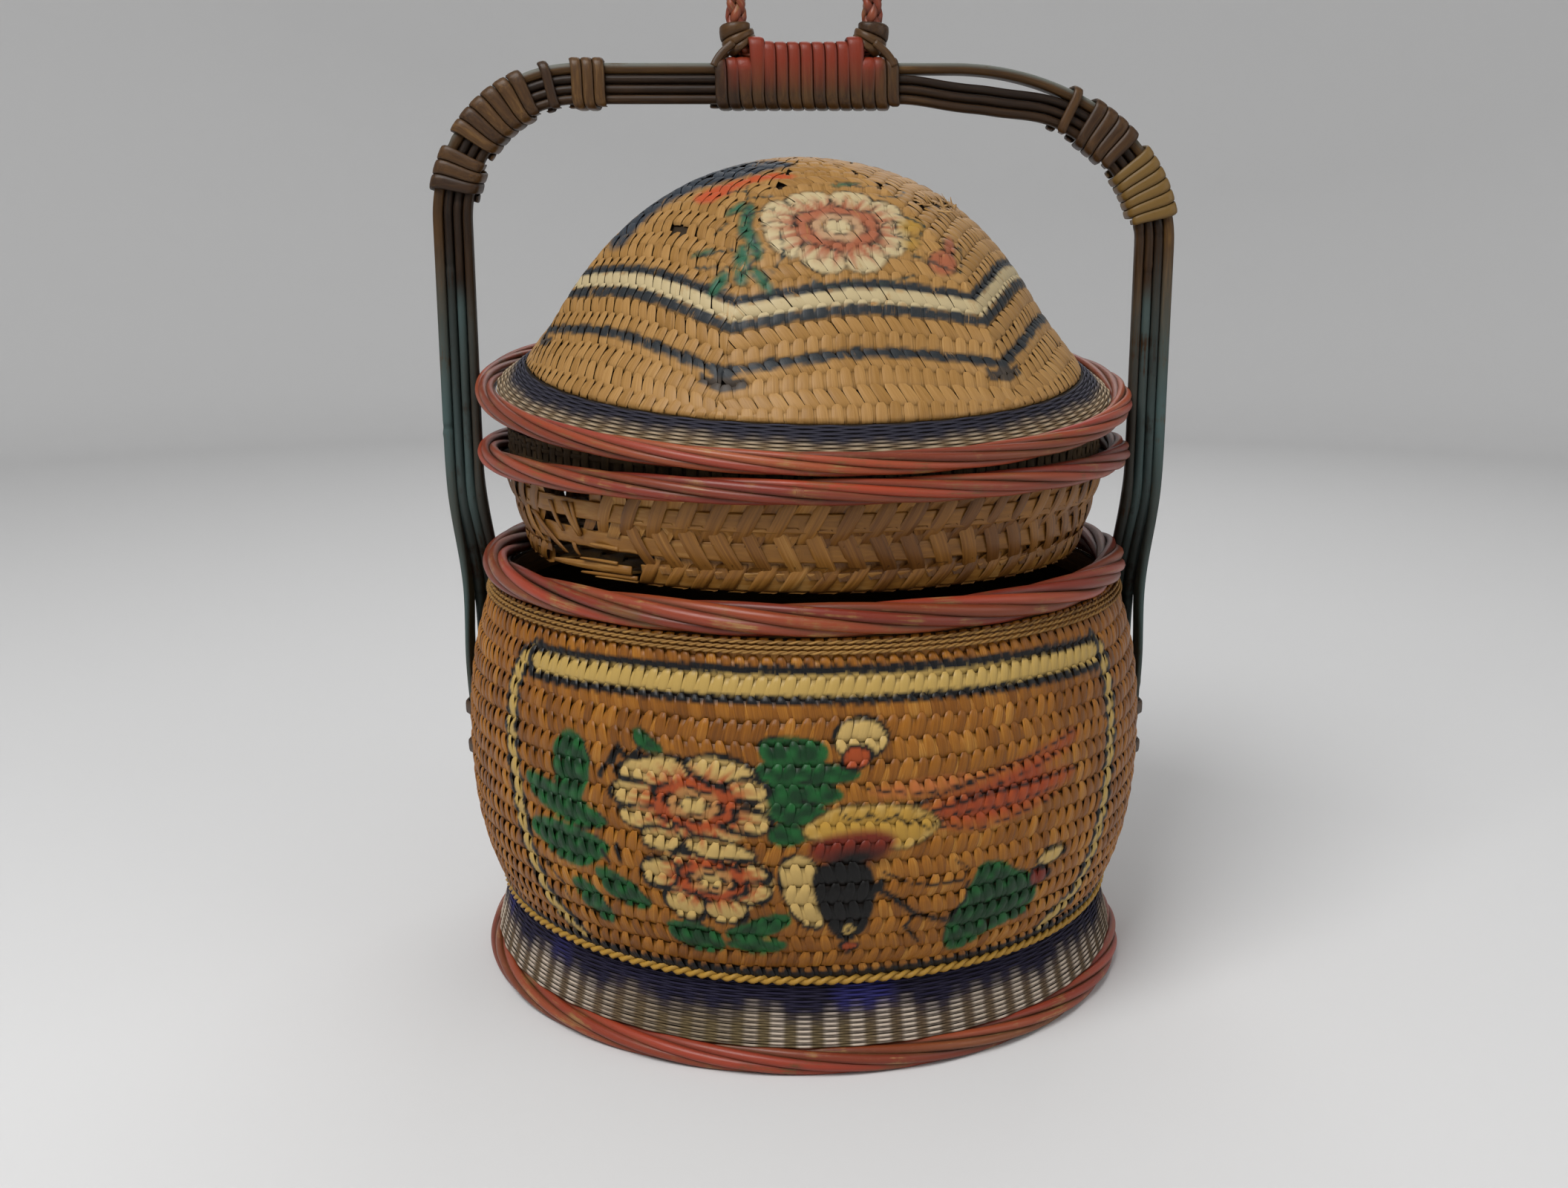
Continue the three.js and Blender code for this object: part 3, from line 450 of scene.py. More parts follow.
# Painted shapes on the base, each a ring of points: degrees from the front, height in millimetres
LEAVES = (
    ((-38.5, 163), (-35, 160), (-33.5, 148), (-35, 134), (-37.5, 129), (-40, 138), (-41, 150)),
    ((-47, 137), (-42, 136), (-36, 131), (-30.5, 124), (-34, 118), (-41, 120), (-46, 128)),
    ((-47, 111), (-41, 117), (-33, 114), (-30.5, 109), (-34, 100), (-37, 96), (-43, 101)),
    ((-38.5, 87), (-35, 89), (-32, 79), (-31, 69), (-34.5, 70), (-37, 78)),
    ((-33, 98), (-28.5, 97), (-24, 87), (-24.5, 81), (-29, 82), (-32, 89)),
    ((-25.8, 171), (-23.5, 169), (-20.5, 162), (-23.5, 161), (-25.5, 165)),
    ((-5.8, 171), (0, 171), (3, 168), (2.5, 160), (-3, 157), (-6, 163)),
    ((-6, 160), (0, 161), (7, 157), (7, 152), (1, 150), (-5.8, 151)),
    ((-6.2, 150), (0, 151), (5.2, 147), (4, 141), (-2, 140), (-6, 143)),
    ((-5.5, 141), (0, 142), (3.5, 137), (2, 131), (-3.5, 131)),
    ((-4.5, 130), (-1, 130), (1, 125), (-2, 120), (-4.8, 122)),
    ((-21, 76), (-16, 77), (-12.5, 70), (-13, 62), (-18, 62), (-20.5, 69)),
    ((-12, 74), (-8, 80), (-3.5, 86), (-2, 81), (-5, 74), (-9, 69)),
    ((-12, 68), (-7, 71), (-2.5, 70), (-4.5, 63), (-9, 62)),
    ((27, 101), (31, 100), (33, 94), (36.5, 90), (38, 80), (37, 70), (31, 67), (26, 59), (23.5, 62),
     (23, 75), (26, 88)))
LEAF_GROWTH = 1.16
UPPER_PETALS = (
    ((-29.5, 147), (-26.5, 157), (-20, 161), (-16.5, 157), (-17, 148), (-22, 144)),
    ((-18.5, 158), (-14, 163), (-9, 161), (-6, 154), (-8, 147), (-14, 148)),
    ((-30, 138), (-28.5, 146), (-23, 147), (-19, 141), (-20, 133), (-26, 130)),
    ((-29, 131), (-27, 124), (-22, 121), (-18.5, 126), (-20, 134), (-25, 135)),
    ((-12, 150), (-7, 153), (-4.5, 147), (-6, 141), (-11, 141)),
    ((-11, 137), (-6, 138), (-4.2, 131), (-6, 125), (-10.5, 126), (-13, 131)),
    ((-25, 120), (-23, 126), (-18.5, 125), (-17.5, 118), (-19, 113), (-23, 114)),
    ((-18, 121), (-14, 124), (-9, 120), (-6, 114), (-10, 112), (-16, 113)))
LOWER_PETALS = (
    ((-25, 104), (-23, 110), (-19, 110), (-18, 103), (-19.5, 95), (-23.8, 94)),
    ((-20.5, 95), (-21.5, 88), (-19.5, 80), (-15.5, 78), (-14.5, 87), (-16, 94)),
    ((-14.5, 92), (-15, 83), (-12, 78), (-8.5, 81), (-8, 89), (-11, 93)),
    ((-10, 101), (-5.5, 102), (-4.2, 95), (-7, 89), (-10.5, 91)),
    ((-10, 113), (-6, 111), (-4.2, 104), (-7, 101), (-11, 103)),
    ((-20.5, 111), (-17, 115), (-11, 114), (-9, 110), (-12, 106), (-18, 106)))
BUDS = (
    (((4, 170), (5, 178), (8, 181), (11, 179), (12.6, 170), (10.5, 162), (7, 161), (5, 164)), PETAL),
    (((5.5, 163), (6.5, 168), (9.5, 167), (10, 161), (7.5, 156), (5.3, 158)), ORANGE),
    (((37.5, 97), (40, 102), (44.5, 102), (44.5, 95), (40, 92)), PETAL),
    (((36.5, 90), (38, 94), (41.5, 91), (41, 84), (38, 82)), RED))
TAIL = ((17, 137), (24, 144), (34, 151), (47, 160), (45, 152), (36, 144), (47, 140), (40, 130), (28, 122),
        (18.5, 127))
BACK_FEATHERS = ((8, 145), (13, 150), (20, 151), (29, 150), (23, 143), (14, 141))
BODY = ((-1, 127), (2, 135), (5, 140), (10, 140), (15, 139), (18.5, 134), (20.5, 127), (18, 121), (14, 116),
        (8, 121), (3, 121))
SHOULDER = ((0.5, 122), (5, 127), (11, 128), (14, 122), (11, 113), (5, 110), (1, 114))
NECK = ((-3.8, 113), (0, 118), (2.5, 108), (2, 92), (3.4, 79), (0.8, 77), (-2, 86), (-3.4, 98))
HEAD = ((0.8, 109), (5, 114), (9.3, 112), (10.6, 100), (10.2, 86), (8.8, 73), (5.5, 69), (3.3, 78), (1.6, 92))
BEAK = ((5.0, 70), (6.2, 61.5), (9.2, 69))
BODY_SCALES = ((5, 137), (9, 136), (13, 134), (16, 131))
# Ink lines by their width and the places they run through
SPRIGS = ((4.4, ((-29.5, 153), (-28.3, 161), (-26.5, 156), (-24.5, 162))), (3.6, ((-31.3, 146), (-30.4, 152))),
          (3.4, ((-28.8, 112), (-28, 104))), (2.6, ((-31.3, 108), (-30.2, 101))),
          (2.0, ((-45, 93), (-41, 84), (-40, 74))))
QUILLS = ((1.9, ((16, 138), (27, 147), (46, 159))), (2.1, ((18, 134), (29, 139), (47, 140))),
          (1.5, ((18.5, 127), (27, 122), (41, 129))), (1.2, ((9, 147), (17.5, 143), (28, 148))),
          (1.1, ((22, 138), (33, 144), (44, 152))), (1.1, ((22, 131), (32, 131), (42, 134))))
TWIG = ((1.3, ((11.5, 106), (15, 100), (18.5, 97), (24, 97), (25.2, 102), (22.5, 108))),
        (3.2, ((10.3, 99), (14, 90), (17, 81.5), (23, 75.5))), (2.2, ((17, 82), (15.2, 76), (17.8, 66))),
        (1.9, ((22.5, 76), (24.7, 85), (25.2, 96))), (5.0, ((10.5, 98), (11.4, 101))))
# The striped frame: where its sides, top and waist line run, and their bands as width, colour and waver
FRAME_SIDES = (
    ((-48, 196), (-51, 190), (-52.5, 177), (-52, 150), (-50.5, 127), (-48.5, 95), (-46, 72), (-40, 54)),
    ((55, 196), (57, 190), (57.5, 177), (57.3, 150), (56, 118), (54, 90), (51, 66), (44, 54)))
FRAME_TOP = [(a, 194.9 - 0.0013 * (a - 3) ** 2) for a in np.linspace(-47, 54, 16)]
WAIST_LINE = [(a, 49.2) for a in np.linspace(-170, 170, 40)]
SIDE_BANDS = ((12.8, NAVY, 0.9), (6.6, CREAM, 0.9))
TOP_BANDS, WAIST_BANDS = ((17.6, NAVY, 0.4), (9.2, CREAM, 0.3)), ((6.6, NAVY, 0.5),)


def unrolled(places):
    """Degrees from the front and heights, as millimetres on the unrolled flat."""
    return [(math.radians(a) * FLAT, z) for a, z in places]


def grown(places, size):
    """The same outline made larger about its middle."""
    middle = np.mean(places, axis=0)
    return middle + (np.array(places) - middle) * size


def paint_base(turn, height):
    """The painted front of the base: a striped frame round peonies, leaves, buds and a bird."""
    board = Painting(turn * FLAT, height)
    lines = [(line, SIDE_BANDS) for line in FRAME_SIDES] + [(FRAME_TOP, TOP_BANDS), (WAIST_LINE, WAIST_BANDS)]
    for line, bands in lines:
        for width, colour, wave in bands:
            board.stroke(unrolled(line), width, colour, wave=wave)
    for outline in LEAVES:
        board.leaf(unrolled(grown(outline, LEAF_GROWTH)))
    ink_lines(board, SPRIGS, 0.45)
    (cx, cy), (dx, dy) = unrolled(((-16, 138), (-13.5, 101)))
    peony(board, dx, dy, 34, 20, [unrolled(petal) for petal in LOWER_PETALS])
    peony(board, cx, cy, 41, 24, [unrolled(petal) for petal in UPPER_PETALS])
    for outline, colour in BUDS:
        board.blob(unrolled(outline), colour, 0.95)
    paint_bird(board)
    return board.layer()


def ink_lines(board, lines, taper, wave=0.0):
    """Brush lines of one ink, each of its own width."""
    for width, places in lines:
        board.stroke(unrolled(places), width, INK, taper, wave)


def paint_bird(board):
    """A long-tailed bird that stoops head down, with a twig under its breast."""
    hatch = 0.5 + 0.5 * np.sin(board.x * 0.75 + board.y * 0.3)
    board.blob(unrolled(TAIL), ORANGE, 0, 7.0, 0.8)
    board.blob(unrolled(TAIL), RED, 0, 9.0, 0.3 * hatch)
    board.blob(unrolled(BACK_FEATHERS), BLUSH, 0, 3.0, 0.3 + 0.5 * hatch)
    ink_lines(board, QUILLS, 0.4, 0.3)
    board.blob(unrolled(BODY), PETAL, 0.75)
    board.blob(unrolled(BODY), STRAW, 0, 2.0, 0.3 + 0.3 * hatch)
    for a, z in BODY_SCALES:
        board.stroke(unrolled(((a, z), (a + 2, z - 5), (a + 4.5, z - 2))), 1.1, INK)
    board.blob(unrolled(SHOULDER), RED, 0, 4.0, 0.95)
    board.blob(unrolled(NECK), PETAL, 0.95)
    board.blob(unrolled(HEAD), INK, 0, 1.2)
    (sx, sy), (ex, ey) = unrolled(((7.5, 114), (6.6, 76.5)))
    board.oval(sx, sy, 14, 5, 0.05, INK, 7.0)
    board.oval(ex, ey, 2.6, 3.0, 0, CREAM)
    board.oval(ex, ey, 1.0, 1.4, 0, INK)
    board.blob(unrolled(BEAK), ORANGE, 0.8)
    ink_lines(board, TWIG, 0.25)


def base_stitches(columns, tongue, filler, seed):
    """A share of the base wall: rows of raised splints that lean to and fro, sunken ones between them."""
    dice = np.random.default_rng(seed)
    strands = Strands()
    pitch = base_surface.length / BASE_ROWS
    col, row = (v.ravel() for v in np.meshgrid(columns, np.arange(BASE_ROWS), indexing="ij"))
    count = len(col)
    painted = paint_base if columns.min() < 0 else None
    lean = np.where(row % 2 == 1, *BASE_LEANS) + dice.normal(0, 0.04, count)
    for form, aside, low, long in ((filler, 0.5, -0.1, 1.1), (tongue, 0.0, -0.12, 1.34)):
        middle = (col + 0.5 + ROW_STEP * (row % 2) + aside) / BASE_COLUMNS * TAU + dice.normal(0, 0.0016, count)
        swing = 0.8 * np.sin(5 * middle + row) + 0.5 * np.sin(11 * middle)
        start = (row + low) * pitch + swing + dice.normal(0, 0.25, count)
        width = 1.0 + dice.normal(0, 0.05, count)
        raise_ = dice.normal(0, 0.1, count)

        def place(form):
            s = np.clip(start[:, None] + form["v"] * pitch * long, 0.2, base_surface.length - 0.2)
            x = form["u"] * form["width"] * width[:, None] + lean[:, None] * (form["v"] - 0.5)
            turn = middle[:, None] + x * TAU / BASE_COLUMNS
            points = base_surface.on(turn, s, form["lift"] + raise_[:, None])
            return points, ((turn + math.pi) % TAU - math.pi, base_surface.at(s)[1])

        lay_stitches(strands, form, place, dice.uniform(0, 1, count), painted)
    return strands


def base_lining():
    """The inside of the base: flat wefts over and under upright stakes, behind the outer splints, darkened as
    painted shade.
    """
    inner = np.linspace(wall_top - 0.5, wall_bottom + 0.5, 73)
    outer = np.linspace(wall_bottom + 0.5, wall_top - 0.5, 13)
    profile = [(wall_radius(z) - 2.9, z) for z in outer] + [(wall_radius(z) - 3.7, z) for z in inner]
    profile = np.array(profile, float)
    facing_in = np.arange(len(profile)) >= len(outer)

    def ripple(turn, profile):
        row = (profile[..., 1] - wall_bottom) / 9.5
        bump = np.sin(turn * BASE_COLUMNS / 4) * np.sin(row * math.pi) * 0.4
        groove = 0.3 * np.abs(np.sin(row * math.pi)) ** 0.5
        return np.where(facing_in, bump - groove + 0.2, 0)

    strands = Strands()
    # Darkened all over, in the shaded finish: painted shade behind the outer weave
    strands.add(*turned_shell(profile, BASE_COLUMNS * 2, ripple), tone=0.4, sunk=0.35)
    return strands


THREAD_SIDES = 5


def twining(rows, radius_at, twists, thick, seed, paint=None):
    """Rows of two threads twisted round each other."""
    dice = np.random.default_rng(seed)
    strands = Strands()
    layers = {} if paint is None else {"paint": paint}
    turn = np.linspace(0, TAU, twists * 8, endpoint=False)
    for height in rows:
        for half in (0, math.pi):
            phase = half + turn * twists + height
            radius = radius_at(height) + thick * 0.8 * np.cos(phase)
            path = spot(turn, radius, height + thick * 0.75 * np.sin(phase))
            tube = sweep(path, spot(turn, 1.0, 0.0), UPWARD, round_section(thick, thick, THREAD_SIDES), True)
            # Darker where a thread turns behind the other: painted shade
            sunk = np.repeat(0.5 - 0.5 * np.cos(phase), THREAD_SIDES) * 0.7
            strands.add(*tube, tone=dice.uniform(0.2, 0.9), sunk=sunk, **layers)
    return strands


ROPE_CANES, ROPE_TURNS, ROPE_SIDES = 6, 4, 10
ROPE_CANE_SHARE = 0.372  # radius of a cane, as a share of the rope's


def rope(middle, height, radius, seed, floor=None):
    """Six peeled canes laid round a core in a long twist that falls to the right."""
    dice = np.random.default_rng(seed)
    strands = Strands()
    turn = np.linspace(0, TAU, 300, endpoint=False)
    across = spot(turn, 1.0, 0.0)
    core = spot(turn, middle, np.full(turn.size, height))
    inside = round_section(radius * 0.6, radius * 0.6, 8)
    # The core is darkened fully: painted shade deep between the canes
    strands.run(core, across, UPWARD, inside, True, tone=0.1, sunk=1.0)
    for k in range(ROPE_CANES):
        waves = sum(dice.uniform(-0.04, 0.04) * np.sin(m * turn + dice.uniform(0, TAU)) for m in (2, 3, 5, 7))
        phase = (k + dice.uniform(-0.06, 0.06)) / ROPE_CANES * TAU - ROPE_TURNS * turn + waves
        swelling = 1 + 0.07 * np.sin(turn * dice.integers(2, 6) + dice.uniform(0, TAU))
        thick = radius * ROPE_CANE_SHARE * swelling * dice.uniform(0.93, 1.06)
        reach = radius - thick
        path = spot(turn, middle + reach * np.cos(phase), height + reach * np.sin(phase))
        section = round_section(1, 1, ROPE_SIDES)[None] * thick[:, None, None]
        points, *faces = sweep(path, across, UPWARD, section, True)
        from_core = np.linalg.norm(points - np.repeat(core, ROPE_SIDES, 0), axis=1)
        # Darker towards the core: dirt and painted shade in the grooves
        sunk = 1 - np.clip((from_core - 0.62 * radius) / (0.34 * radius), 0, 1)
        if floor is not None:
            points[:, 2] = np.maximum(points[:, 2], floor)
        rubbed = np.repeat(smooth(waves, -0.02, 0.1), ROPE_SIDES)
        cover = np.clip(1.0 - 0.35 * rubbed - 0.55 * smooth(sunk, 0.35, 0.8), 0, 1)
        shade = OXIDE * dice.uniform(0.6, 1.2) * np.array([1, dice.uniform(0.85, 1.35), dice.uniform(0.8, 1.2)])
        strands.add(points, *faces, tone=dice.uniform(0, 1), sunk=sunk, paint=coat(shade, cover))
    return strands


SKIRT_RIBS, WICKER_PITCH = 84, 1.15


def wicker(surface, colour_at, seed):
    """Fine weaving: rows of thin thread that go over and under upright ribs."""
    dice = np.random.default_rng(seed)
    strands = Strands()
    rows = int(surface.length / WICKER_PITCH)
    turn = np.linspace(0, TAU, SKIRT_RIBS * 6, endpoint=False)
    ends = surface.at(np.array([0.0, surface.length]))
    for row in range(rows):
        s = (row + 0.5) * surface.length / rows + 0.12 * np.sin(turn * 9 + row) + dice.normal(0, 0.05)
        weave = np.cos(turn * SKIRT_RIBS / 2 + math.pi * (row % 2))
        path = surface.on(turn, s, 0.42 * weave)
        _, _, out, up = surface.at(s)
        flat = round_section(0.5, WICKER_PITCH * 0.56, THREAD_SIDES)
        thread = sweep(path, spot(turn, out, up), spot(turn, -up, out), flat, True)
        colour = colour_at(np.repeat(turn, THREAD_SIDES), np.repeat(s / surface.length, THREAD_SIDES), dice)
        # Darker where a thread passes under a rib: painted shade
        sunk = np.repeat(0.45 - 0.45 * weave, THREAD_SIDES)
        strands.add(*thread, tone=dice.uniform(0, 1), sunk=sunk, paint=colour)
    # A dark sheet behind the threads, its navy halved: painted shade in the gaps
    backing = np.array([(ends[0][i] - d, ends[1][i]) for i, d in ((0, 0.9), (1, 0.9), (1, 2.3), (0, 2.3))])
    strands.add(*turned_shell(backing, 176), tone=0.2, sunk=0.6, paint=coat(NAVY * 0.5, 0.9))
    return strands


def foot_colour(turn, share, dice):
    """Dark blue at the top that fades to chalk, paler on the ribs and darker between them."""
    rib = 0.5 + 0.5 * np.cos(turn * SKIRT_RIBS)
    streak = 0.05 * np.sin(turn * 17 + 1) + 0.04 * np.sin(turn * 31 + 2.2) - 0.07 * rib
    blue = smooth(share + streak + dice.normal(0, 0.03), 0.28, 0.66)[:, None]
    patchy = smooth(np.sin(turn * 7 + 1.0) + np.sin(turn * 3), -1.6, 0.6)
    pale = (smooth(rib, 0.1, 0.75) * (0.4 + 0.6 * patchy))[:, None]
    bare = tint("564636") * (1 - pale) + CHALK * pale
    olive = 0.55 * smooth(np.sin(turn * 3 + 2.0), 0.1, 1.0)[:, None] * (1 - pale)
    low = bare * (1 - olive) + tint("6c6440") * olive
    cobalt = smooth(np.sin(turn * 9) * np.sin(turn * 4 + 1), 0.45, 0.9) * smooth(share, 0.4, 0.7)
    cobalt = cobalt[:, None]
    deep = BLUE * (1 - 0.5 * cobalt) + tint("2b2f86") * 0.5 * cobalt
    return coat(low * (1 - blue) + deep * blue, 0.72 + 0.24 * blue[:, 0])


def brim_colour(turn, share, dice):
    """Blue beside the dome that fades to bare, chalky cane beside the rope, paler on each rib as a painted
    sheen.
    """
    rib = 0.5 + 0.5 * np.cos(turn * SKIRT_RIBS)
    streak = 0.08 * np.sin(turn * 5 + 0.6) + 0.04 * np.sin(turn * 23) - 0.06 * rib
    blue = smooth(share + streak + dice.normal(0, 0.03), 0.16, 0.7)[:, None]
    # The ribs turn pale: a painted sheen
    pale = rib[:, None]
    rgb = (tint("6d5c48") * (1 - pale) + tint("c6b59c") * pale) * (1 - blue) + tint("272b3c") * blue
    return coat(rgb, 0.55 + 0.4 * blue[:, 0])


# Dome of the lid

dome_share = np.sin(np.linspace(0, math.pi / 2, 240))
dome_profile = np.stack([DOME_RADIUS * np.sqrt(np.maximum(1 - dome_share ** (1 + DOME_SWELL * dome_share), 0)),
                         dome_bottom + DOME_HEIGHT * dome_share], -1)
dome_surface = Turned(dome_profile)
GORES, GORE = 6, TAU / 6
DOME_ROWS, DOME_COLUMN, DOME_DIP = 23, 6.9, 10.0
DOME_PITCH = dome_surface.length / DOME_ROWS


def on_dome(turn, s, lift):
    """A point of the six-sided dome: turn from the front, arc length up from the brim."""
    radius, height, out, up = dome_surface.at(s)
    offset = (turn - math.pi / 2 - DOME_CORNER_TURN) % GORE - GORE / 2
    facet = DOME_FACET_SHARE * smooth((height - dome_bottom) / DOME_HEIGHT, 0, 0.3)
    radius = radius * (1 + facet * (math.cos(GORE / 2) / np.cos(offset) - 1))
    points = spot(turn, radius + lift * out, height + lift * up)
    points[..., 0] -= DOME_LEAN * (height - dome_bottom)
    return points


# Painting of the crown by degrees from the front and arc length up from the brim
CROWN_ORANGE = ((-56, 117), (-44, 115), (-38, 127), (-33, 142), (-1, 151), (-24, 157), (-49, 138), (-57, 124))
CROWN_NAVY = ((-66, 76), (-68, 92), (-68, 107), (-64, 124), (-53, 137), (-39, 149), (-7, 170), (-33, 176),
              (-90, 172), (-115, 150), (-110, 120), (-85, 98), (-75, 74))
CROWN_TURN = 12  # degrees at which the crown's painting is unrolled
# Leaves and buds as place, half sizes and lean; a bud's colour, ink, softness and cover follow
CROWN_LEAVES = ((-21, 108, 14, 4.6, 70), (-16, 94, 13, 4.2, 100), (-17, 79, 13, 4.8, 80),
                (-22, 67, 10, 3.8, 50), (-11, 71, 9, 3.4, 115), (-28, 115, 10, 2.6, 40),
                (-31, 83, 9, 1.8, 20), (24, 141, 9, 2.2, 10))
CROWN_BUDS = (((41, 79, 9, 8, 0.3), "98573a", 0.5, 1.8, 0.7), ((48, 88, 7, 5, 0.5), "98573a", 0.4, 1.8, 0.6),
              ((38, 103, 9, 7, 0.2), "a07c30", 0.4, 3.0, 0.4), ((34, 92, 6, 5, 0.2), "a07c30", 0.4, 3.0, 0.4))
CROWN_FLOWER, CROWN_PETALS = (11.5, 104), 8
CROWN_TWIGS = (
    ((-33, 136), (-25, 122), (-17, 101), (-13, 84), (-20, 62)), ((-15, 129), (-26, 124)),
    ((-31, 82), (-20, 88)), ((-31, 74), (-18, 77)), ((36, 113), (44, 103), (36, 92), (30, 98)),
    ((33, 84), (44, 72), (53, 84), (46, 92)), ((30, 72), (18, 68)), ((-24, 110), (-12, 118)),
    ((20, 145), (30, 138), (56, 139)),
    ((-8, 100), (-6, 86), (-10, 70)), ((-28, 104), (-30, 96)), ((2, 71), (8, 66), (14, 71)),
    ((-40, 128), (-31, 131)), ((36, 128), (48, 126), (58, 130)))
DOME_STRIPES = ((68.5, 2.8, "24282b"), (62.0, 4.0, "b5a37c"), (55.0, 2.8, "24282b"), (33.0, 2.7, "24282b"))


def paint_dome(turn, s, level):
    """Stripes that follow the rows, a fret at each mitre, and a worn spray of flowers over the crown."""
    radius = np.maximum(dome_surface.at(s)[0], 12)
    board = Painting((turn - math.radians(CROWN_TURN)) * radius, s)
    level, turn = np.ravel(level), np.ravel(turn)
    uneven = 0.35 * np.sin(turn * 40) + 0.25 * np.sin(turn * 97 + 1)
    for middle, half, code in DOME_STRIPES:
        board.lay(0.95 * (0.5 + (half + uneven - np.abs(level - middle)) / 0.9), tint(code))
    offset = np.abs((turn - math.pi / 2 - DOME_CORNER_TURN + GORE / 2) % GORE - GORE / 2) * np.ravel(radius)
    hook = (offset < 12) & (np.abs(level - 26) < 2.6) | (offset < 4) & (np.abs(level - 29) < 5.5)
    board.lay(hook * 0.9, tint("24282b"))

    def at(a, arc):
        return math.radians(a - CROWN_TURN) * dome_surface.at(arc)[0], arc

    def ring(a, arc, half_x, half_y, lean, points=10):
        """A closed outline round a place on the flat of the crown."""
        t = np.arange(points) / points * TAU
        u, v = half_x * np.cos(t), half_y * np.sin(t)
        cx, cy = at(a, arc)
        c, s = math.cos(lean), math.sin(lean)
        return np.stack([cx + u * c - v * s, cy + u * s + v * c], -1)

    board.blob([at(*place) for place in CROWN_NAVY], tint("2c333b"), 0, 4.0, 0.88)
    board.blob([at(*place) for place in CROWN_ORANGE], tint("ad4a24"), 0, 3.0, 0.85)
    for *place, lean in CROWN_LEAVES:
        board.blob(ring(*place, math.radians(lean)), tint("27573f"), 0.3, 1.6, 0.62)
    petals = []
    for share in np.arange(CROWN_PETALS) / CROWN_PETALS:
        b = share * TAU + 0.39
        out = np.array([31 * math.cos(b), 22 * math.sin(b)])
        petals.append(ring(*CROWN_FLOWER, 13, 9, b + math.pi / 2) + out)
    peony(board, *at(*CROWN_FLOWER), 44, 31, petals, 0.4, 0.55, tint("b5a37c"), tint("98573a"))
    for place, code, ink, soft, cover in CROWN_BUDS:
        board.blob(ring(*place), tint(code), ink, soft, cover)
    for places in CROWN_TWIGS:
        board.stroke([at(*place) for place in places], 1.5, tint("26302b"), 0.5, 0.4)
    return board.layer()


# Where splints have broken out of the dome: degrees from the front, arc length and reach
BROKEN = ((-49, 94, 4.5), (-45.5, 98.5, 3.4), (56, 117, 3.6), (72, 113, 4.5), (84, 109, 5.5))


def dome_stitches(tongue, leaning, filler, seed):
    """Six gores of splints, upright and leaning rows by turns, that bow up and are cut at the mitres."""
    dice = np.random.default_rng(seed)
    cells = []
    for gore in range(GORES):
        middle = math.pi / 2 + DOME_CORNER_TURN + GORE / 2 + gore * GORE
        for row in range(DOME_ROWS + 1):
            half = int(dome_surface.at(row * DOME_PITCH)[0] * GORE / DOME_COLUMN / 2) + 1
            cells += [(middle, row, col) for col in range(-half, half + 1)]
    cells = np.array(cells)
    strands = Strands()
    upright = cells[:, 1] % 2 == 0
    kinds = ((filler, upright, 0.5, 0.0, 1.05, 0.12), (tongue, upright, 0.0, -0.1, 1.28, 0.12),
             (leaning, ~upright, 0.3, -0.12, 1.28, -0.75))
    for form, chosen, aside, low, long, lean in kinds:
        middle, row, col = cells[chosen].T
        level = (row + low) * DOME_PITCH
        x = (col + aside) * DOME_COLUMN
        half_way = np.clip(level + DOME_PITCH / 2, 0, dome_surface.length)
        angle = x / np.maximum(dome_surface.at(half_way)[0], 6)
        dip = DOME_DIP * smooth(half_way, -10, 20) * smooth(dome_surface.length - half_way, 0, 90)
        centre = half_way - dip * np.clip(np.abs(angle) / (GORE / 2), 0, 1.1) ** 1.7
        turn = (middle + angle + math.pi) % TAU - math.pi
        keep = (np.abs(angle) < GORE / 2 + 0.02) & (centre > -4) & (centre < dome_surface.length - 1)
        for a, arc, reach in BROKEN:
            keep &= np.hypot((turn - math.radians(a)) * dome_surface.at(centre)[0], centre - arc) > reach
        middle, level, x, dip = (v[keep, None] for v in (middle, level, x, dip))
        count = len(x)
        jitter, raise_ = dice.normal(0, 0.3, (count, 1)), dice.normal(0, 0.08, (count, 1))
        sway = lean + dice.normal(0, 0.05, (count, 1))

        def place(form):
            level_v = level + form["v"] * DOME_PITCH * long + jitter
            across = x + (form["u"] * form["width"] + sway * (form["v"] - 0.5)) * DOME_COLUMN
            angle = np.clip(across / np.maximum(dome_surface.at(level_v)[0], 5), -GORE / 2, GORE / 2)
            s = level_v - dip * (np.abs(angle) / (GORE / 2)) ** 1.7
            lift = form["lift"] + raise_ - 1.5 * (s < 0.3)
            s = np.clip(s, 0.2, dome_surface.length - 0.05)
            turn = (middle + angle + math.pi) % TAU - math.pi
            return on_dome(turn, s, lift), (turn, s, level_v)

        lay_stitches(strands, form, place, dice.uniform(0.25, 0.8, count), paint_dome)
    frayed_edge(strands, dice)
    return strands


def frayed_edge(strands, dice):
    """Broken ends of splints that stand up round the tear on the right of the dome."""
    t = np.linspace(0, 1, 6)
    for _ in range(26):
        turn = math.radians(dice.uniform(52, 96)) + dice.uniform(-0.03, 0.07) * t
        arc = 117 - 9 * smooth(turn[0], 0.9, 1.7) + dice.uniform(-5, 4) + dice.uniform(-7, 9) * t
        lift = 0.2 + dice.uniform(1.0, 3.6) * t ** 1.5
        path = on_dome(turn, arc, lift)
        out = unit(on_dome(turn, arc, lift + 1) - path)
        side = unit(np.cross(np.gradient(path, axis=0), out))
        section = round_section(1.25, 0.3, 6)[None] * (1 - 0.7 * t ** 2)[:, None, None]
        # Darker at the root of each end: painted shade
        sunk = np.repeat(0.5 * (1 - t), 6)
        strands.run(path, side, out, section, tone=dice.uniform(0.4, 1.0), sunk=sunk)


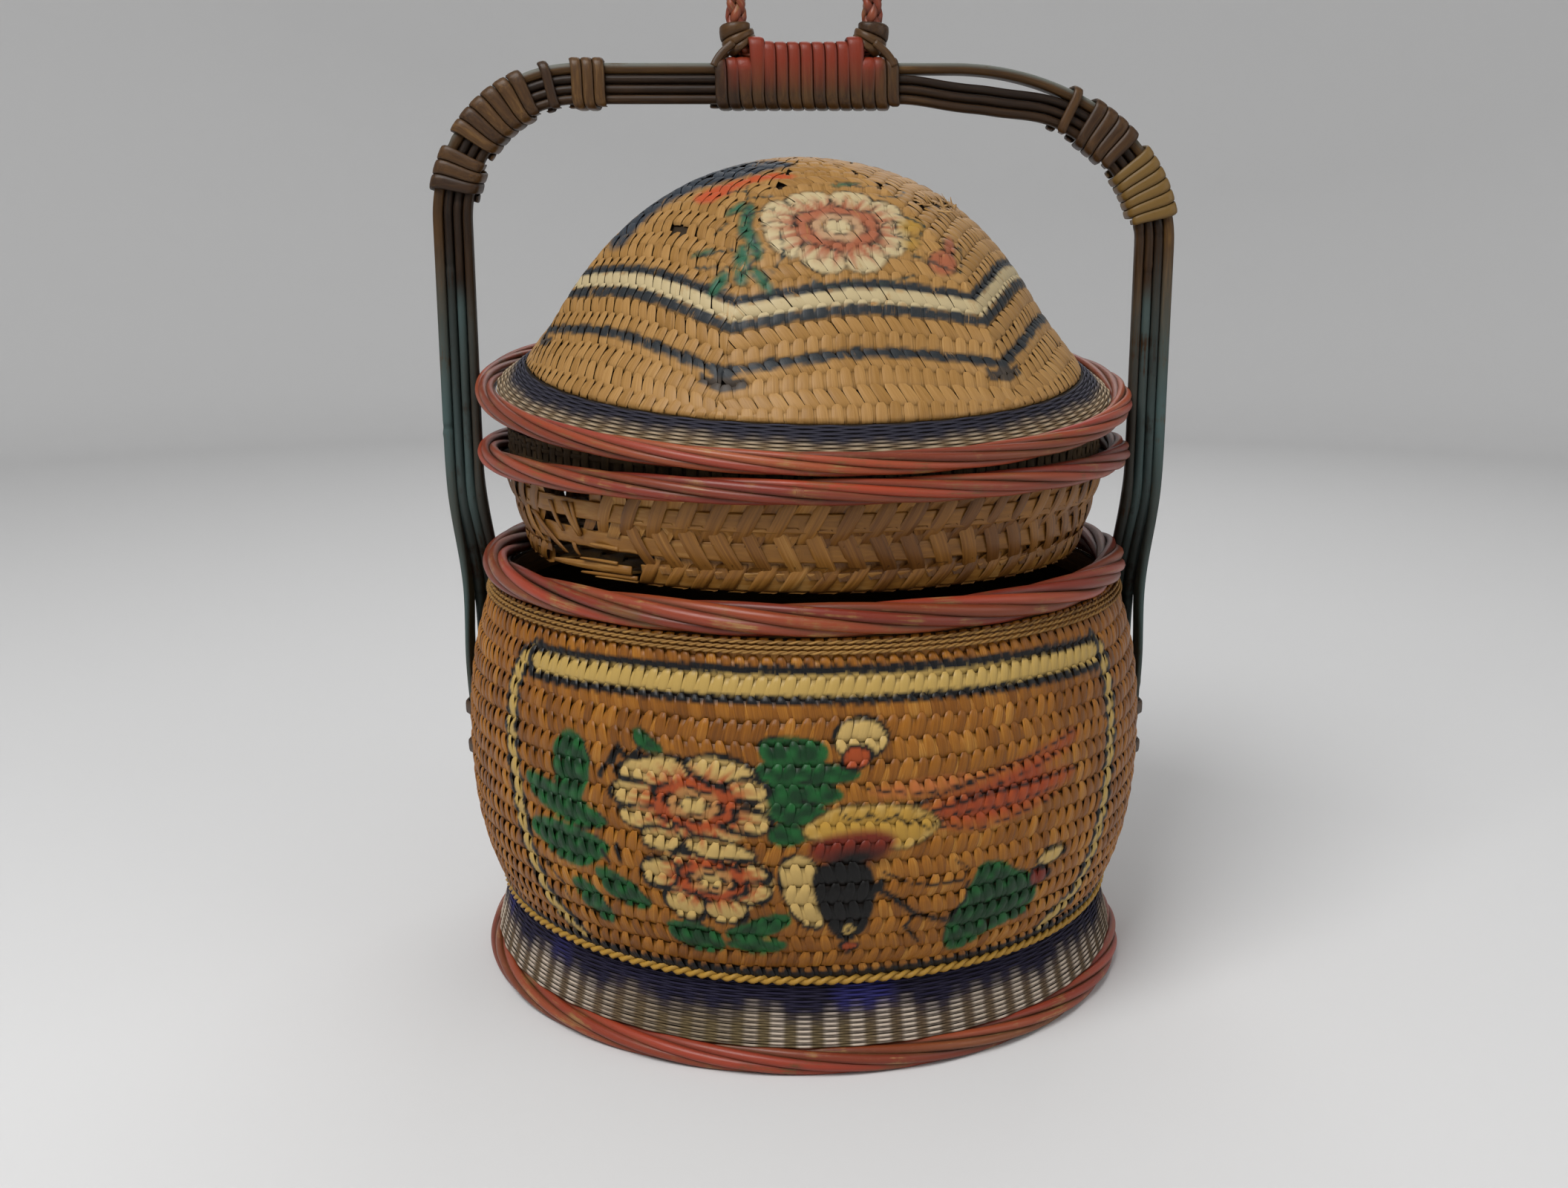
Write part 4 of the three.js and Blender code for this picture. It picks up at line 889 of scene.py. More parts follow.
def dome_lining():
    """The inner layer of the dome, seen through the broken places and from below, darkened as painted shade."""
    around, bands, faces = 120, 40, (-3.4, -2.4)
    arc = np.linspace(0.5, dome_surface.length - 3, bands)
    arc, lift = np.r_[arc[::-1], arc], np.repeat(faces, bands)
    turn = np.arange(around)[:, None] / around * TAU
    wave = np.where(lift < -3, 0.4 * np.sin(arc / 7 * math.pi) * np.sin(turn * 60), 0)
    rings = on_dome(*np.broadcast_arrays(turn, arc, lift + wave))
    poles = on_dome(np.zeros(2), np.full(2, dome_surface.length), np.array(faces))
    points = np.concatenate([rings.reshape(-1, 3), poles])
    k, i, j = 2 * bands, np.arange(around)[:, None], np.arange(2 * bands - 1)[None]
    nxt = (i + 1) % around
    quads = np.stack([i * k + j, nxt * k + j, nxt * k + j + 1, i * k + j + 1], -1).reshape(-1, 4)
    i, nxt, top = i[:, 0], nxt[:, 0], np.full(around, around * k)
    tris = np.concatenate([np.stack([nxt * k, i * k, top], -1),
                           np.stack([i * k + k - 1, nxt * k + k - 1, top + 1], -1)])
    if held_volume(points, quads, tris) < 0:
        quads, tris = quads[:, ::-1], tris[:, ::-1]
    uv = np.stack(np.broadcast_arrays(turn, arc / 10), -1).reshape(-1, 2)
    strands = Strands()
    # The face behind the outer weave is darkened fully and the face seen from below less: painted shade
    strands.add(points, quads, tris, np.concatenate([uv, np.zeros((2, 2))]), tone=0.2,
                sunk=np.r_[np.tile(np.where(lift < -3, 0.4, 1.0), around), 0.4, 1.0])
    return strands


# Tray

tray_surface = Turned([(TRAY_BOTTOM_RADIUS - 1.7, tray_bottom),
                       (tray_top_radius - 1.7, tray_rope_height - TRAY_ROPE_RADIUS),
                       (tray_top_radius - 1.7, tray_rope_height)])
TRAY_COLUMNS = 66
# Each weft of the tray by its middle, with the length, lean and place in the column of the stakes over it
TRAY_ROWS = ((5.4, 17.0, 0.8, 0.62), (20.5, 27.0, -0.78, 0.5), (36.0, 24.0, 0.8, 0.3))
HOLE = (math.radians(-59), math.radians(-32))
STAKE_WIDTH, WEFT_HALF_HEIGHT = 0.54, 4.7
# Broken splints round the hole: degrees from the front, arc length, reach in degrees, fall and half width
SPLINTERS = ((-33, 6.4, -22, -1.5, 2.3), (-32, 2.6, -14, -0.6, 1.1), (-32, 0.8, -10, 0.2, 0.6),
             (-35, 17.5, -6, 1.5, 1.0), (-36, 9.5, -9, 0.5, 0.8))
HANGING_STAKES = ((-60, 29, 9.5, 19, 3.6), (-47, 17, 1.0, 7, 1.5), (-51, 38, 1.5, 16, 1.6),
                  (-46.5, 39, 2.0, 18, 2.3), (-44.5, 39, 0.6, 17, 1.2))


def weft(surface, s, half_height, thick, turns, waves, wobble, closed):
    """A flat splint that runs round a wall between the stakes."""
    _, _, out, up = surface.at(np.full(turns.size, s))
    path = surface.on(turns, np.full(turns.size, s), wobble * np.cos(turns * waves))
    normal, slope = spot(turns, out, up), spot(turns, -up, out)
    return sweep(path, normal, slope, round_section(thick, half_height, 10, 5), closed)


def tray_weave(form, seed):
    """The slanted wall of the tray: flat wefts, with stakes over and behind them that lean to and fro."""
    dice = np.random.default_rng(seed)
    strands = Strands()
    for row, (s, *_) in enumerate(TRAY_ROWS):
        turns = np.linspace(0, TAU, TRAY_COLUMNS * 6, endpoint=False)
        if row == 0:
            turns = np.linspace(HOLE[1] + 0.02, HOLE[0] + TAU - 0.12, TRAY_COLUMNS * 6)
        band = weft(tray_surface, s, WEFT_HALF_HEIGHT, 0.45, turns, TRAY_COLUMNS, 0.3 * (-1) ** row, row > 0)
        strands.add(*band, tone=dice.uniform(0.6, 1.0), sunk=0.12)
    for side in (1, -1):
        row, col = (v.ravel() for v in np.meshgrid(np.arange(3), np.arange(TRAY_COLUMNS), indexing="ij"))
        middle_s, long, lean, aside = np.array(TRAY_ROWS)[row].T
        middle = (col + aside + 0.5 * (side < 0)) / TRAY_COLUMNS * TAU
        turn = (middle + math.pi) % TAU - math.pi
        torn = (turn > HOLE[0]) & (turn < HOLE[1]) & (row < 2)
        torn |= (turn > HOLE[0] + 0.08) & (turn < HOLE[1] - 0.16) & (row == 2)
        middle, middle_s, long, lean = (v[~torn] for v in (middle, middle_s, long, lean))
        count = len(middle)
        lean = lean + dice.normal(0, 0.05, count)
        width = dice.normal(STAKE_WIDTH, 0.035, count)
        raise_ = dice.normal(0, 0.12, count)
        start = middle_s - long / 2 + dice.normal(0, 0.5, count)

        def place(form):
            s = np.clip(start[:, None] + form["v"] * long[:, None], -0.6, tray_surface.length - 0.5)
            x = form["u"] * form["width"] * width[:, None] + lean[:, None] * (form["v"] - 0.5)
            turns = middle[:, None] + x * TAU / TRAY_COLUMNS
            return tray_surface.on(turns, s, side * (form["lift"] + raise_[:, None])), None

        shape = form if side > 0 else {**form, "quads": form["quads"][:, ::-1]}
        lay_stitches(strands, shape, place, dice.uniform(0.1, 0.9, count))
    add_splinters(strands, dice)
    return strands


def add_splinters(strands, dice):
    """Broken splint ends round the hole in the front of the tray."""
    for turn, s, reach, fall, half in SPLINTERS:
        t = np.linspace(0, 1, 9)
        turns = np.radians(turn + reach * t)
        path = tray_surface.on(turns, s + fall * t ** 1.5, 1.0 + 1.8 * t ** 2)
        taper = np.stack([np.ones(9), half * (1 - 0.55 * t ** 3)], -1)
        section = round_section(0.7, 1, 8, 4)[None] * taper[:, None]
        splinter = sweep(path, spot(turns, 1.0, 0.0), UPWARD, section)
        strands.add(*splinter, tone=dice.uniform(0.75, 1.0), sunk=0.0)
    for turn, s, reach, drop, half in HANGING_STAKES:
        t = np.linspace(0, 1, 6)
        turns = np.radians(turn + reach * t)
        path = tray_surface.on(turns, s - drop * t, 1.0 + 0.8 * np.sin(t * 3))
        normal, side = spot(turns, 1.0, 0.0), spot(turns + math.pi / 2, 1.0, 0.0)
        taper = np.stack([1 - 0.45 * t ** 4, np.ones(6)], -1)
        section = round_section(half, 0.6, 8, 4)[None] * taper[:, None]
        strands.run(path, side, normal, section, tone=dice.uniform(0.4, 0.8), sunk=0.1)


NECK_STAKES = 150


def tray_neck(seed):
    """The collar of upright splints that the lid drops over, with a thin lining and a ledge under the rope, all
    darkened as painted shade under the lid.
    """
    dice = np.random.default_rng(seed)
    strands = Strands()
    low, high = tray_rope_height - TRAY_ROPE_RADIUS, neck_top
    middle = neck_radius - 1.3
    t = np.linspace(0, 1, 5)
    for k in range(NECK_STAKES):
        turn = (k + dice.uniform(-0.15, 0.15)) / NECK_STAKES * TAU
        over = 0.45 if k % 2 else -0.35
        path = spot(np.full(5, turn), middle + over * np.cos(t * 9), low + (high - low - 0.6) * t)
        side, normal = spot(turn + math.pi / 2, 1.0, 0.0), spot(turn, 1.0, 0.0)
        stake = sweep(path, side, normal, round_section(2.7, 0.45, 8, 4))
        strands.add(*stake, tone=dice.uniform(0, 0.6), sunk=0.35)
    behind, top, shelf = neck_radius - 1.75, high - 0.8, tray_rope_height - 3
    lining = ((behind, low), (behind, top), (behind - 0.5, top), (behind - 0.5, low))
    ledge = ((tray_rope_middle, shelf - 1), (tray_rope_middle, shelf), (behind, shelf), (behind, shelf - 1))
    # The lining and ledge are darkened further: painted shade behind the stakes and under the rope
    for profile in (lining, ledge):
        strands.add(*turned_shell(profile, 120), tone=0.1, sunk=0.8)
    ring = Turned([(middle, low), (middle, high)])
    turns = np.linspace(0, TAU, NECK_STAKES * 4, endpoint=False)
    for s, way in ((3.0, 1), (9.0, -1), (15.0, 1), (high - low - 1.2, -1)):
        band = weft(ring, s, 1.1, 0.4, turns, NECK_STAKES // 2, 0.75 * way, True)
        strands.add(*band, tone=dice.uniform(0.2, 0.7), sunk=0.3)
    return strands


def woven_floor(radius, bottom, thickness, strip, seed):
    """A round of flat splints woven over and under each other."""
    dice = np.random.default_rng(seed)
    strands = Strands()
    count = int(2 * radius / strip)
    for way in (0, 1):
        for i in range(count):
            y = (i - (count - 1) / 2) * strip
            half = math.sqrt(max(radius ** 2 - (abs(y) + strip / 2) ** 2, 0))
            if half < strip:
                continue
            n = int(half * 2 / strip * 3) + 2
            x = np.linspace(-half, half, n)
            z = bottom + thickness / 2 + 0.75 * np.cos(x / strip * math.pi + math.pi * (i + way))
            path = np.stack([x, np.full(n, y), z] if way == 0 else [np.full(n, y), x, z], -1)
            across = SIDEWAYS if way == 0 else (1.0, 0, 0)
            section = round_section(strip * 0.46, 0.6, 8, 5)
            strands.run(path, across, UPWARD, section, tone=dice.uniform(0.2, 0.9), sunk=0.2)
    return strands


def hoop(name, radius, low, high, thick, body, nodes, material, place=None):
    """A split-bamboo hoop: a turned band, thickened inwards, with its edges eased."""
    bpy.ops.object.select_all(action="DESELECT")
    bpy.ops.mesh.primitive_cylinder_add(vertices=120, radius=radius * MM, depth=(high - low) * MM,
                                        end_fill_type="NOTHING", location=(0, 0, (high + low) / 2 * MM))
    band = bpy.context.object
    band.name = band.data.name = name
    wall = band.modifiers.new("wall", "SOLIDIFY")
    wall.thickness, wall.offset = thick * MM, -1
    bpy.ops.object.modifier_apply(modifier="wall")
    ease = band.modifiers.new("ease", "BEVEL")
    ease.width, ease.segments, ease.limit_method, ease.angle_limit = 0.8 * MM, 2, "ANGLE", math.radians(40)
    bpy.ops.object.modifier_apply(modifier="ease")
    bpy.ops.object.transform_apply(location=True, rotation=True, scale=True)
    bpy.ops.object.shade_smooth_by_angle(angle=math.radians(40))
    if place is not None:
        moved = place.copy()
        moved[:3, 3] *= MM
        points = np.array([v.co for v in band.data.vertices]) @ moved[:3, :3].T + moved[:3, 3]
        band.data.vertices.foreach_set("co", points.ravel())
    for key, value in (("tone", 0.45), ("sunk", 0.3)):
        layer = band.data.attributes.new(key, "FLOAT", "POINT")
        layer.data.foreach_set("value", np.full(len(band.data.vertices), value))
    paint = band.data.attributes.new("paint", "FLOAT_COLOR", "POINT")
    paint.data.foreach_set("color", np.zeros(4 * len(band.data.vertices)))
    x, y, z = np.array([band.data.vertices[l.vertex_index].co for l in band.data.loops]).T
    strand = band.data.uv_layers.active or band.data.uv_layers.new()
    strand.name = "strand"
    strand.data.foreach_set("uv", np.stack([z / MM / 8, np.arctan2(y, x) * radius / 10], -1).ravel())
    band.data.materials.append(material)
    settle(band, body, nodes)


# Handle

left_spring, right_spring = crossbar_height - LEFT_DROP, crossbar_height - RIGHT_DROP
left_turn, right_turn = LEFT_REACH - leg_inner, leg_inner - RIGHT_REACH
quarter = np.linspace(0, math.pi / 2, 300)
arch_x = np.r_[left_turn - LEFT_REACH * np.cos(quarter), np.linspace(left_turn, right_turn, 200)[1:-1],
               right_turn + RIGHT_REACH * np.sin(quarter)]
arch_z = np.r_[left_spring + LEFT_DROP * np.sin(quarter), np.full(198, crossbar_height),
               right_spring + RIGHT_DROP * np.cos(quarter)]
arch_arc = np.r_[0, np.cumsum(np.hypot(np.diff(arch_x), np.diff(arch_z)))]
arch_arc -= np.interp(0, arch_x, arch_arc)
arch_dx, arch_dz = np.gradient(arch_x, arch_arc), np.gradient(arch_z, arch_arc)
arch_start, arch_end = arch_arc[0], arch_arc[-1]


def arch_at(distance):
    """Inside point, outward and sideways directions of the bent bundle, by distance from its middle."""
    x, z, dx, dz = (np.interp(distance, arch_arc, v) for v in (arch_x, arch_z, arch_dx, arch_dz))
    size = np.hypot(dx, dz)
    zero = np.zeros_like(x)
    point = np.stack([x, zero, z], -1)
    out = np.stack([-dz / size, zero, dx / size], -1)
    return point, out, np.broadcast_to(SIDEWAYS, point.shape)


cane_step = CANE_THICKNESS + CANE_GAP
cane_shift = (CANE_WIDTH - STRIP_WIDTH) / 2
rear_shift = cane_shift + CANE_WIDTH / 2 + CANE_GAP + REAR_CANE_WIDTH / 2
STRIP_FAN, CANE_FAN, CANE_FAN_STEP = 4.0, 9.2, 3.6
# Each piece of the bundle: name, middle, thickness, width, shift sideways, and degrees its ends fan out
LAYERS = [("handle_outer_strip", CANE_LAYERS * cane_step + STRIP_THICKNESS / 2, STRIP_THICKNESS, STRIP_WIDTH,
           0.0, STRIP_FAN)]
LAYERS += [(f"handle_cane_{i + 1}", CANE_THICKNESS / 2 + i * cane_step, CANE_THICKNESS, CANE_WIDTH, cane_shift,
            CANE_FAN + (CANE_LAYERS - 1 - i) * CANE_FAN_STEP) for i in (2, 1, 0)]
LAYERS += [("handle_rear_cane", CANE_LAYERS * cane_step / 2, REAR_CANE_THICKNESS, REAR_CANE_WIDTH, rear_shift,
            CANE_FAN + CANE_LAYERS * CANE_FAN_STEP)]
CANE_SAG, NODE_APART, STRIP_NODE = 4.4, 230, 290

# How much of each cane's lower part still has its blue-green paint
TEAL_LEFT = {"handle_outer_strip": 0.95, "handle_cane_3": 0.6, "handle_cane_2": 0.8, "handle_cane_1": 0.3,
             "handle_rear_cane": 0.12}
PRESSED_DEPTH, PRESSED_BELOW, FULL_ABOVE = 0.16, 120, 255


def leg_press(height):
    """How far the bundle is still as deep as at the top: it is pressed flat towards its ends."""
    rise = np.clip((height - PRESSED_BELOW) / (FULL_ABOVE - PRESSED_BELOW), 0, 1)
    return PRESSED_DEPTH + (1 - PRESSED_DEPTH) * rise


def leg_path(side, spring, offset, thick, shift, fan_turn):
    """One leg from its end on the base wall up to the spring of the arch."""
    height = leg_end + (spring - leg_end) * np.linspace(0, 1, 70) ** 1.2
    fan = 1 - smooth(height, bulge_level + 12, tray_rope_height - 12)
    hug = 1 - smooth(height, bulge_level + 14, wall_top)
    radius = leg_inner + offset
    wall = wall_radius(height) + LEG_GAP
    inner = np.maximum(leg_inner + (wall - leg_inner) * hug, wall)
    reach = inner + offset * leg_press(height)
    for _ in range(2):
        reach = np.convolve(np.pad(reach, 4, mode="edge"), np.ones(9) / 9, "valid")
    reach = np.maximum(reach, wall + thick * leg_press(height) / 2)
    straight = math.asin(shift / radius)
    turn = straight + (math.radians(fan_turn) - straight) * fan
    slope = hug * (wall_radius(height + 1) - wall_radius(height - 1)) / 2
    out = unit(np.stack([side * np.cos(turn), np.sin(turn), -slope], -1))
    point = np.stack([side * reach * np.cos(turn), reach * np.sin(turn), height], -1)
    return point, out, np.stack([-side * np.sin(turn), np.cos(turn), np.zeros_like(turn)], -1)


def cane_path(offset, thick, shift, fan, sag):
    """A cane from one end on the wall, up, over the crossbar and down to the other end."""
    left = leg_path(-1, left_spring, offset, thick, shift, fan)
    right = leg_path(1, right_spring, offset, thick, shift, fan)
    distance = np.linspace(arch_start, arch_end, 130)[1:-1]
    point, out, across = arch_at(distance)
    lower = sag * smooth(distance, 50, 88) * smooth(-distance, -136, -100)
    point = point + out * (offset - lower)[:, None]
    point[:, 1] = shift
    return [np.concatenate([l, m, r[::-1]]) for l, m, r in zip(left, (point, out, across), right)]


def handle_cane(layer, seed):
    """A bent cane with its nodes: a low ridge with a groove beside it, at uneven distances."""
    name, offset, thick, width, shift, fan = layer
    dice = np.random.default_rng(seed)
    strip = name == "handle_outer_strip"
    path, out, across = cane_path(offset, thick, shift, fan, 0.0 if strip else CANE_SAG)
    arc = np.r_[0, np.cumsum(np.linalg.norm(np.diff(path, axis=0), axis=1))]
    spots = np.arange(90, arc[-1], NODE_APART)
    spots = spots + dice.uniform(-40, 40, len(spots))
    if strip:
        spots = np.r_[arc[np.argmin(np.abs(path[:80, 2] - STRIP_NODE))], spots[1:]]
    fine = np.unique(np.r_[np.linspace(0, arc[-1], 300), *[s + np.linspace(-8, 8, 15) for s in spots]])
    fine = fine[(fine >= 0) & (fine <= arc[-1])]
    path, out, across = (np.stack([np.interp(fine, arc, w) for w in v.T], -1) for v in (path, out, across))
    ridge = sum(np.exp(-((fine - s) / 1.6) ** 2) - 0.5 * np.exp(-((fine - s - 4) / 1.8) ** 2) for s in spots)
    size = 1 + 0.10 * ridge
    section = round_section(width / 2, thick / 2, 12, 5.0 if strip else 3.0)
    section_face = section[:, 1] / (thick / 2)
    fuller = 0 if strip else 0.8 * smooth(path[:, 2], 135, 175) * smooth(-path[:, 2], -275, -225)
    depth = (1.05 + fuller) * size * np.maximum(leg_press(path[:, 2]), 0.5)
    section = section[None] * np.stack([np.minimum(0.985 * size, 1.0), depth], -1)[:, None]
    points, *faces = sweep(path, across, out, section)
    strands = Strands()
    height = points[:, 2]
    low = smooth(-height, -dice.uniform(372, 402), -dice.uniform(325, 355))
    low = low * (0.8 + 0.2 * np.sin(height / 17 + seed))
    # On the crossbar the strip's upward face turns a paler grey: its blue-green paint, painted lighter as a
    # highlight where it faces up
    lit_top_face = np.tile(section_face > 0.7, len(fine)) * smooth(height, left_spring + 20, crossbar_height)
    cover = low * TEAL_LEFT[name] + (0.6 * lit_top_face if strip else 0)
    colour = tint("435655") * (1 - lit_top_face[:, None]) + tint("7c8580") * lit_top_face[:, None]
    # Darker in the groove beside each node: painted shade
    groove = np.repeat(np.clip(-ridge, 0, 0.5), 12)
    paint = coat(colour, np.clip(cover, 0, 1))
    strands.add(points, *faces, tone=dice.uniform(0.2, 0.8), sunk=groove + 0.12, paint=paint)
    return strands


def lashing(side, height):
    """A flat cane over the ends of the legs, stepping over each in turn."""
    radius = float(wall_radius(height))
    slope = float(wall_radius(height + 1) - wall_radius(height - 1)) / 2
    half = LASHING_THICKNESS / 2
    steps = []
    for _, _, thick, width, _, fan in LAYERS:
        over = LEG_GAP + thick + GAP + half
        reach = width / 2 / radius
        steps += [(math.radians(fan) - reach, over), (math.radians(fan) + reach, over)]
    land, wall_gap = LASHING_WIDTH / radius, LEG_GAP + half
    path = [(steps[0][0] - 2 * land, wall_gap), (steps[0][0] - land, wall_gap), *steps,
            (steps[-1][0] + 0.6 * land, wall_gap), (steps[-1][0] + 2 * land, wall_gap)]
    turn, lift = np.array(path).T
    fine = np.linspace(turn[0], turn[-1], 90)
    lift = np.interp(fine, turn, lift)
    kernel = np.ones(5) / 5
    lift = np.maximum(lift, np.convolve(np.pad(lift, 2, mode="edge"), kernel, "valid"))
    out = np.stack([side * np.cos(fine), np.sin(fine), np.full(90, -slope)], -1) / math.hypot(1, slope)
    up = np.stack([slope * side * np.cos(fine), slope * np.sin(fine), np.ones(90)], -1) / math.hypot(1, slope)
    point = np.stack([side * radius * np.cos(fine), radius * np.sin(fine), np.full(90, height)], -1)
    strands = Strands()
    section = round_section(LASHING_WIDTH / 2, half, 10, 3)
    strands.run(point + out * lift[:, None], up, out, section, tone=0.5, sunk=0.1)
    return strands


# Ring

ring_flat = RING_HALF_WIDTH - RING_CORNER_RADIUS
ring_bottom = crossbar_top + GAP + RING_TUBE_RADIUS
ring_corner = RING_CORNER_RADIUS * math.pi / 2
ring_half = ring_flat + ring_corner + RING_SIDE + RING_HALF_WIDTH * math.pi / 2


def ring_at(distance):
    """Middle of the ring's tube and its outward and sideways directions, from its lowest point."""
    distance = np.asarray(distance, float)
    side = np.where(distance < 0, -1.0, 1.0)
    rest = np.abs(distance)
    side_bottom = ring_bottom + RING_CORNER_RADIUS
    bend = np.clip((rest - ring_flat) / RING_CORNER_RADIUS, 0, math.pi / 2)
    x = np.minimum(rest, ring_flat) + RING_CORNER_RADIUS * np.sin(bend)
    z = side_bottom - RING_CORNER_RADIUS * np.cos(bend) + np.clip(rest - ring_flat - ring_corner, 0, RING_SIDE)
    top = np.maximum(rest - ring_flat - ring_corner - RING_SIDE, 0) / RING_HALF_WIDTH
    x = np.where(top > 0, RING_HALF_WIDTH * np.cos(top), x)
    z = np.where(top > 0, side_bottom + RING_SIDE + RING_HALF_WIDTH * np.sin(top), z)
    dx = np.where(top > 0, np.cos(top), np.sin(bend))
    dz = np.where(top > 0, np.sin(top), -np.cos(bend))
    zero = np.zeros_like(x)
    point = np.stack([side * x, zero, z], -1)
    return point, np.stack([side * dx, zero, dz], -1), np.broadcast_to(SIDEWAYS, point.shape)


def settled(points):
    """Presses what lies on the crossbar flatter under the binding that holds it."""
    rise = points[..., 2] - crossbar_top
    pressed = crossbar_top + rise * (0.62 + 0.38 * smooth(rise, 10, 32))
    return np.concatenate([points[..., :2], np.where(rise > 0, pressed, points[..., 2])[..., None]], -1)


RING_PAINT = coat(tint("7c2c1a"), 0.78)
BRAID_LAPS, BRAID_CANES = 7, 4  # laps round the core, and canes that run each way


def braided_ring():
    """Eight canes plaited round a core, four each way, over one and under one."""
    dice = np.random.default_rng(71)
    strands = Strands()
    distance = np.linspace(-ring_half, ring_half, 420, endpoint=False)
    point, out, across = ring_at(distance)
    core = round_section(2.9, 2.9, 8)
    points, *faces = sweep(point, across, out, core, True)
    # The core is darkened fully: painted shade between the canes
    strands.add(settled(points), *faces, tone=0.1, sunk=1.0)
    swing = (distance / ring_half + 1) * math.pi * BRAID_LAPS
    over = np.cos(BRAID_CANES * swing)
    for way in (1, -1):
        for k in range(BRAID_CANES):
            phase = k / BRAID_CANES * TAU + way * swing
            reach = 3.75 + way * 0.62 * over
            path = point + out * (reach * np.cos(phase))[:, None] + across * (reach * np.sin(phase))[:, None]
            radial = out * np.cos(phase)[:, None] + across * np.sin(phase)[:, None]
            ahead = np.roll(path, -1, 0) - np.roll(path, 1, 0)
            sideways = unit(np.cross(ahead, radial))
            # Darker where a cane goes under: painted shade
            sunk = np.repeat(0.5 - 0.5 * way * over, 7) * 0.8
            points, *faces = sweep(path, sideways, radial, round_section(2.15, 1.25, 7), True)
            strands.add(settled(points), *faces, tone=dice.uniform(0, 1), sunk=sunk, paint=RING_PAINT)
    return strands


# Cane bindings

def ring_lift(distance):
    """How far the centre binding rises over the pressed foot of the ring."""
    near = np.abs(distance) <= HUMP_HALF_LENGTH
    point, out, _ = ring_at(np.abs(distance) + 0.7 * WRAP_WIDTH)
    lift = point[..., 2] - RING_TUBE_RADIUS / np.where(near, out[..., 2], -1) - crossbar_top + WRAP_SLACK
    return np.where(near, lift * 0.6, 0)


def bundle_at(distance):
    """Middle of the bundle, by distance along the arch."""
    point, out, across = arch_at(distance)
    return point + out * bundle_thickness / 2, out, across


def winding(station, start, end, turns, width, held, lift, seed, paint=None, pressed=False):
    """One unbroken strip of split cane wound round what it holds."""
    dice = np.random.default_rng(seed)
    steps = 30
    half_out, half_across, power = held
    pitch = (end - start) / turns
    i = np.arange(turns * steps + 1)
    turn = i / steps * TAU
    point, out, across = station(start + i / steps * pitch)
    margin = GAP + WRAP_SLACK + WRAP_THICKNESS / 2
    u, v = (np.sign(w) * np.abs(w) ** (2 / power) for w in (-np.cos(turn), np.sin(turn)))
    crest = start + (np.floor(i / steps) + 0.5) * pitch
    up = u * (half_out + margin) + lift(crest) * smooth(u, 0, 0.7)
    path = point + out * up[:, None] + across * (v * (half_across + margin))[:, None]
    along = np.cross(across, out)
    normal = unit(np.cross(np.gradient(path, axis=0), along))
    wide = np.full(len(i), width + 0.5)
    if turns > 1:
        apart = np.linalg.norm(path[steps:] - path[:-steps], axis=1)
        after, before = np.r_[apart, apart[-steps:]], np.r_[apart[:steps], apart]
        wide = np.clip((after + before) / 2 - 0.1, width + 0.2, width + 3.2)
    tucked = smooth(np.minimum(i, i[-1] - i) / steps, 0.0, 0.16)
    path = path - normal * (0.9 * (1 - tucked))[:, None]
    size = np.stack([wide * (0.55 + 0.45 * tucked), 0.25 + 0.75 * tucked], -1)
    section = round_section(0.5, WRAP_THICKNESS / 2, 10, 2.6)[None] * size[:, None]
    points, *faces = sweep(path, along, normal, section)
    points = settled(points) if pressed else points
    turn_tones = dice.uniform(0, 1, turns + 2)
    tone = np.repeat(np.interp(i / steps, np.arange(turns + 2), turn_tones), 10)
    # The strip's two edges, where its turns meet, are darkened: painted shade between the turns
    side = np.tile(np.abs(np.cos(np.arange(10) / 10 * TAU)), len(i))
    layers = {"tone": tone, "sunk": 0.75 * side ** 6}
    if paint is not None:
        layers["paint"] = paint(points)
    strands = Strands()
    strands.add(points, *faces, **layers)
    return strands


def no_lift(distance):
    """A binding that lies close all round."""
    return np.zeros_like(distance)


def red_top(points):
    """Red lacquer on the outside of the middle of the centre binding."""
    x, _, z = points.T
    cover = 0.95 * smooth(z, crossbar_top - 7, crossbar_top - 2.5) * smooth(-np.abs(x), -44, -36)
    return coat(tint("762814"), cover)


def straw_cane(points):
    """A paler cane than the others."""
    return coat(tint("74592a"), np.full(len(points), 0.8))


def laid_out(bindings):
    """Where each binding starts and ends along the bundle, from the spring of the arch."""
    start = 0.0
    for name, skip, turns, width in bindings:
        pitch = width + WRAP_APART
        first = start + skip * pitch
        start = first + turns * pitch
        yield name, first, start, turns, width


# Bindings from each spring of the arch: name, turns skipped before it, its turns and its width
LEFT_BINDINGS = (("left_shoulder_wrap", 2, 3, CORNER_WRAP_WIDTH), ("left_corner_wrap", 1, 6, CORNER_WRAP_WIDTH),
                 ("left_tie", 1, 1, CORNER_WRAP_WIDTH), ("left_top_wrap", 1.1, 3, CORNER_WRAP_WIDTH))
RIGHT_BINDINGS = (("right_shoulder_wrap", 2.4, 6, THIN_WRAP_WIDTH),
                  ("right_corner_wrap", 0.9, 4, CORNER_WRAP_WIDTH), ("right_tie", 1, 1, CORNER_WRAP_WIDTH))
KNOT_TURNS = 3


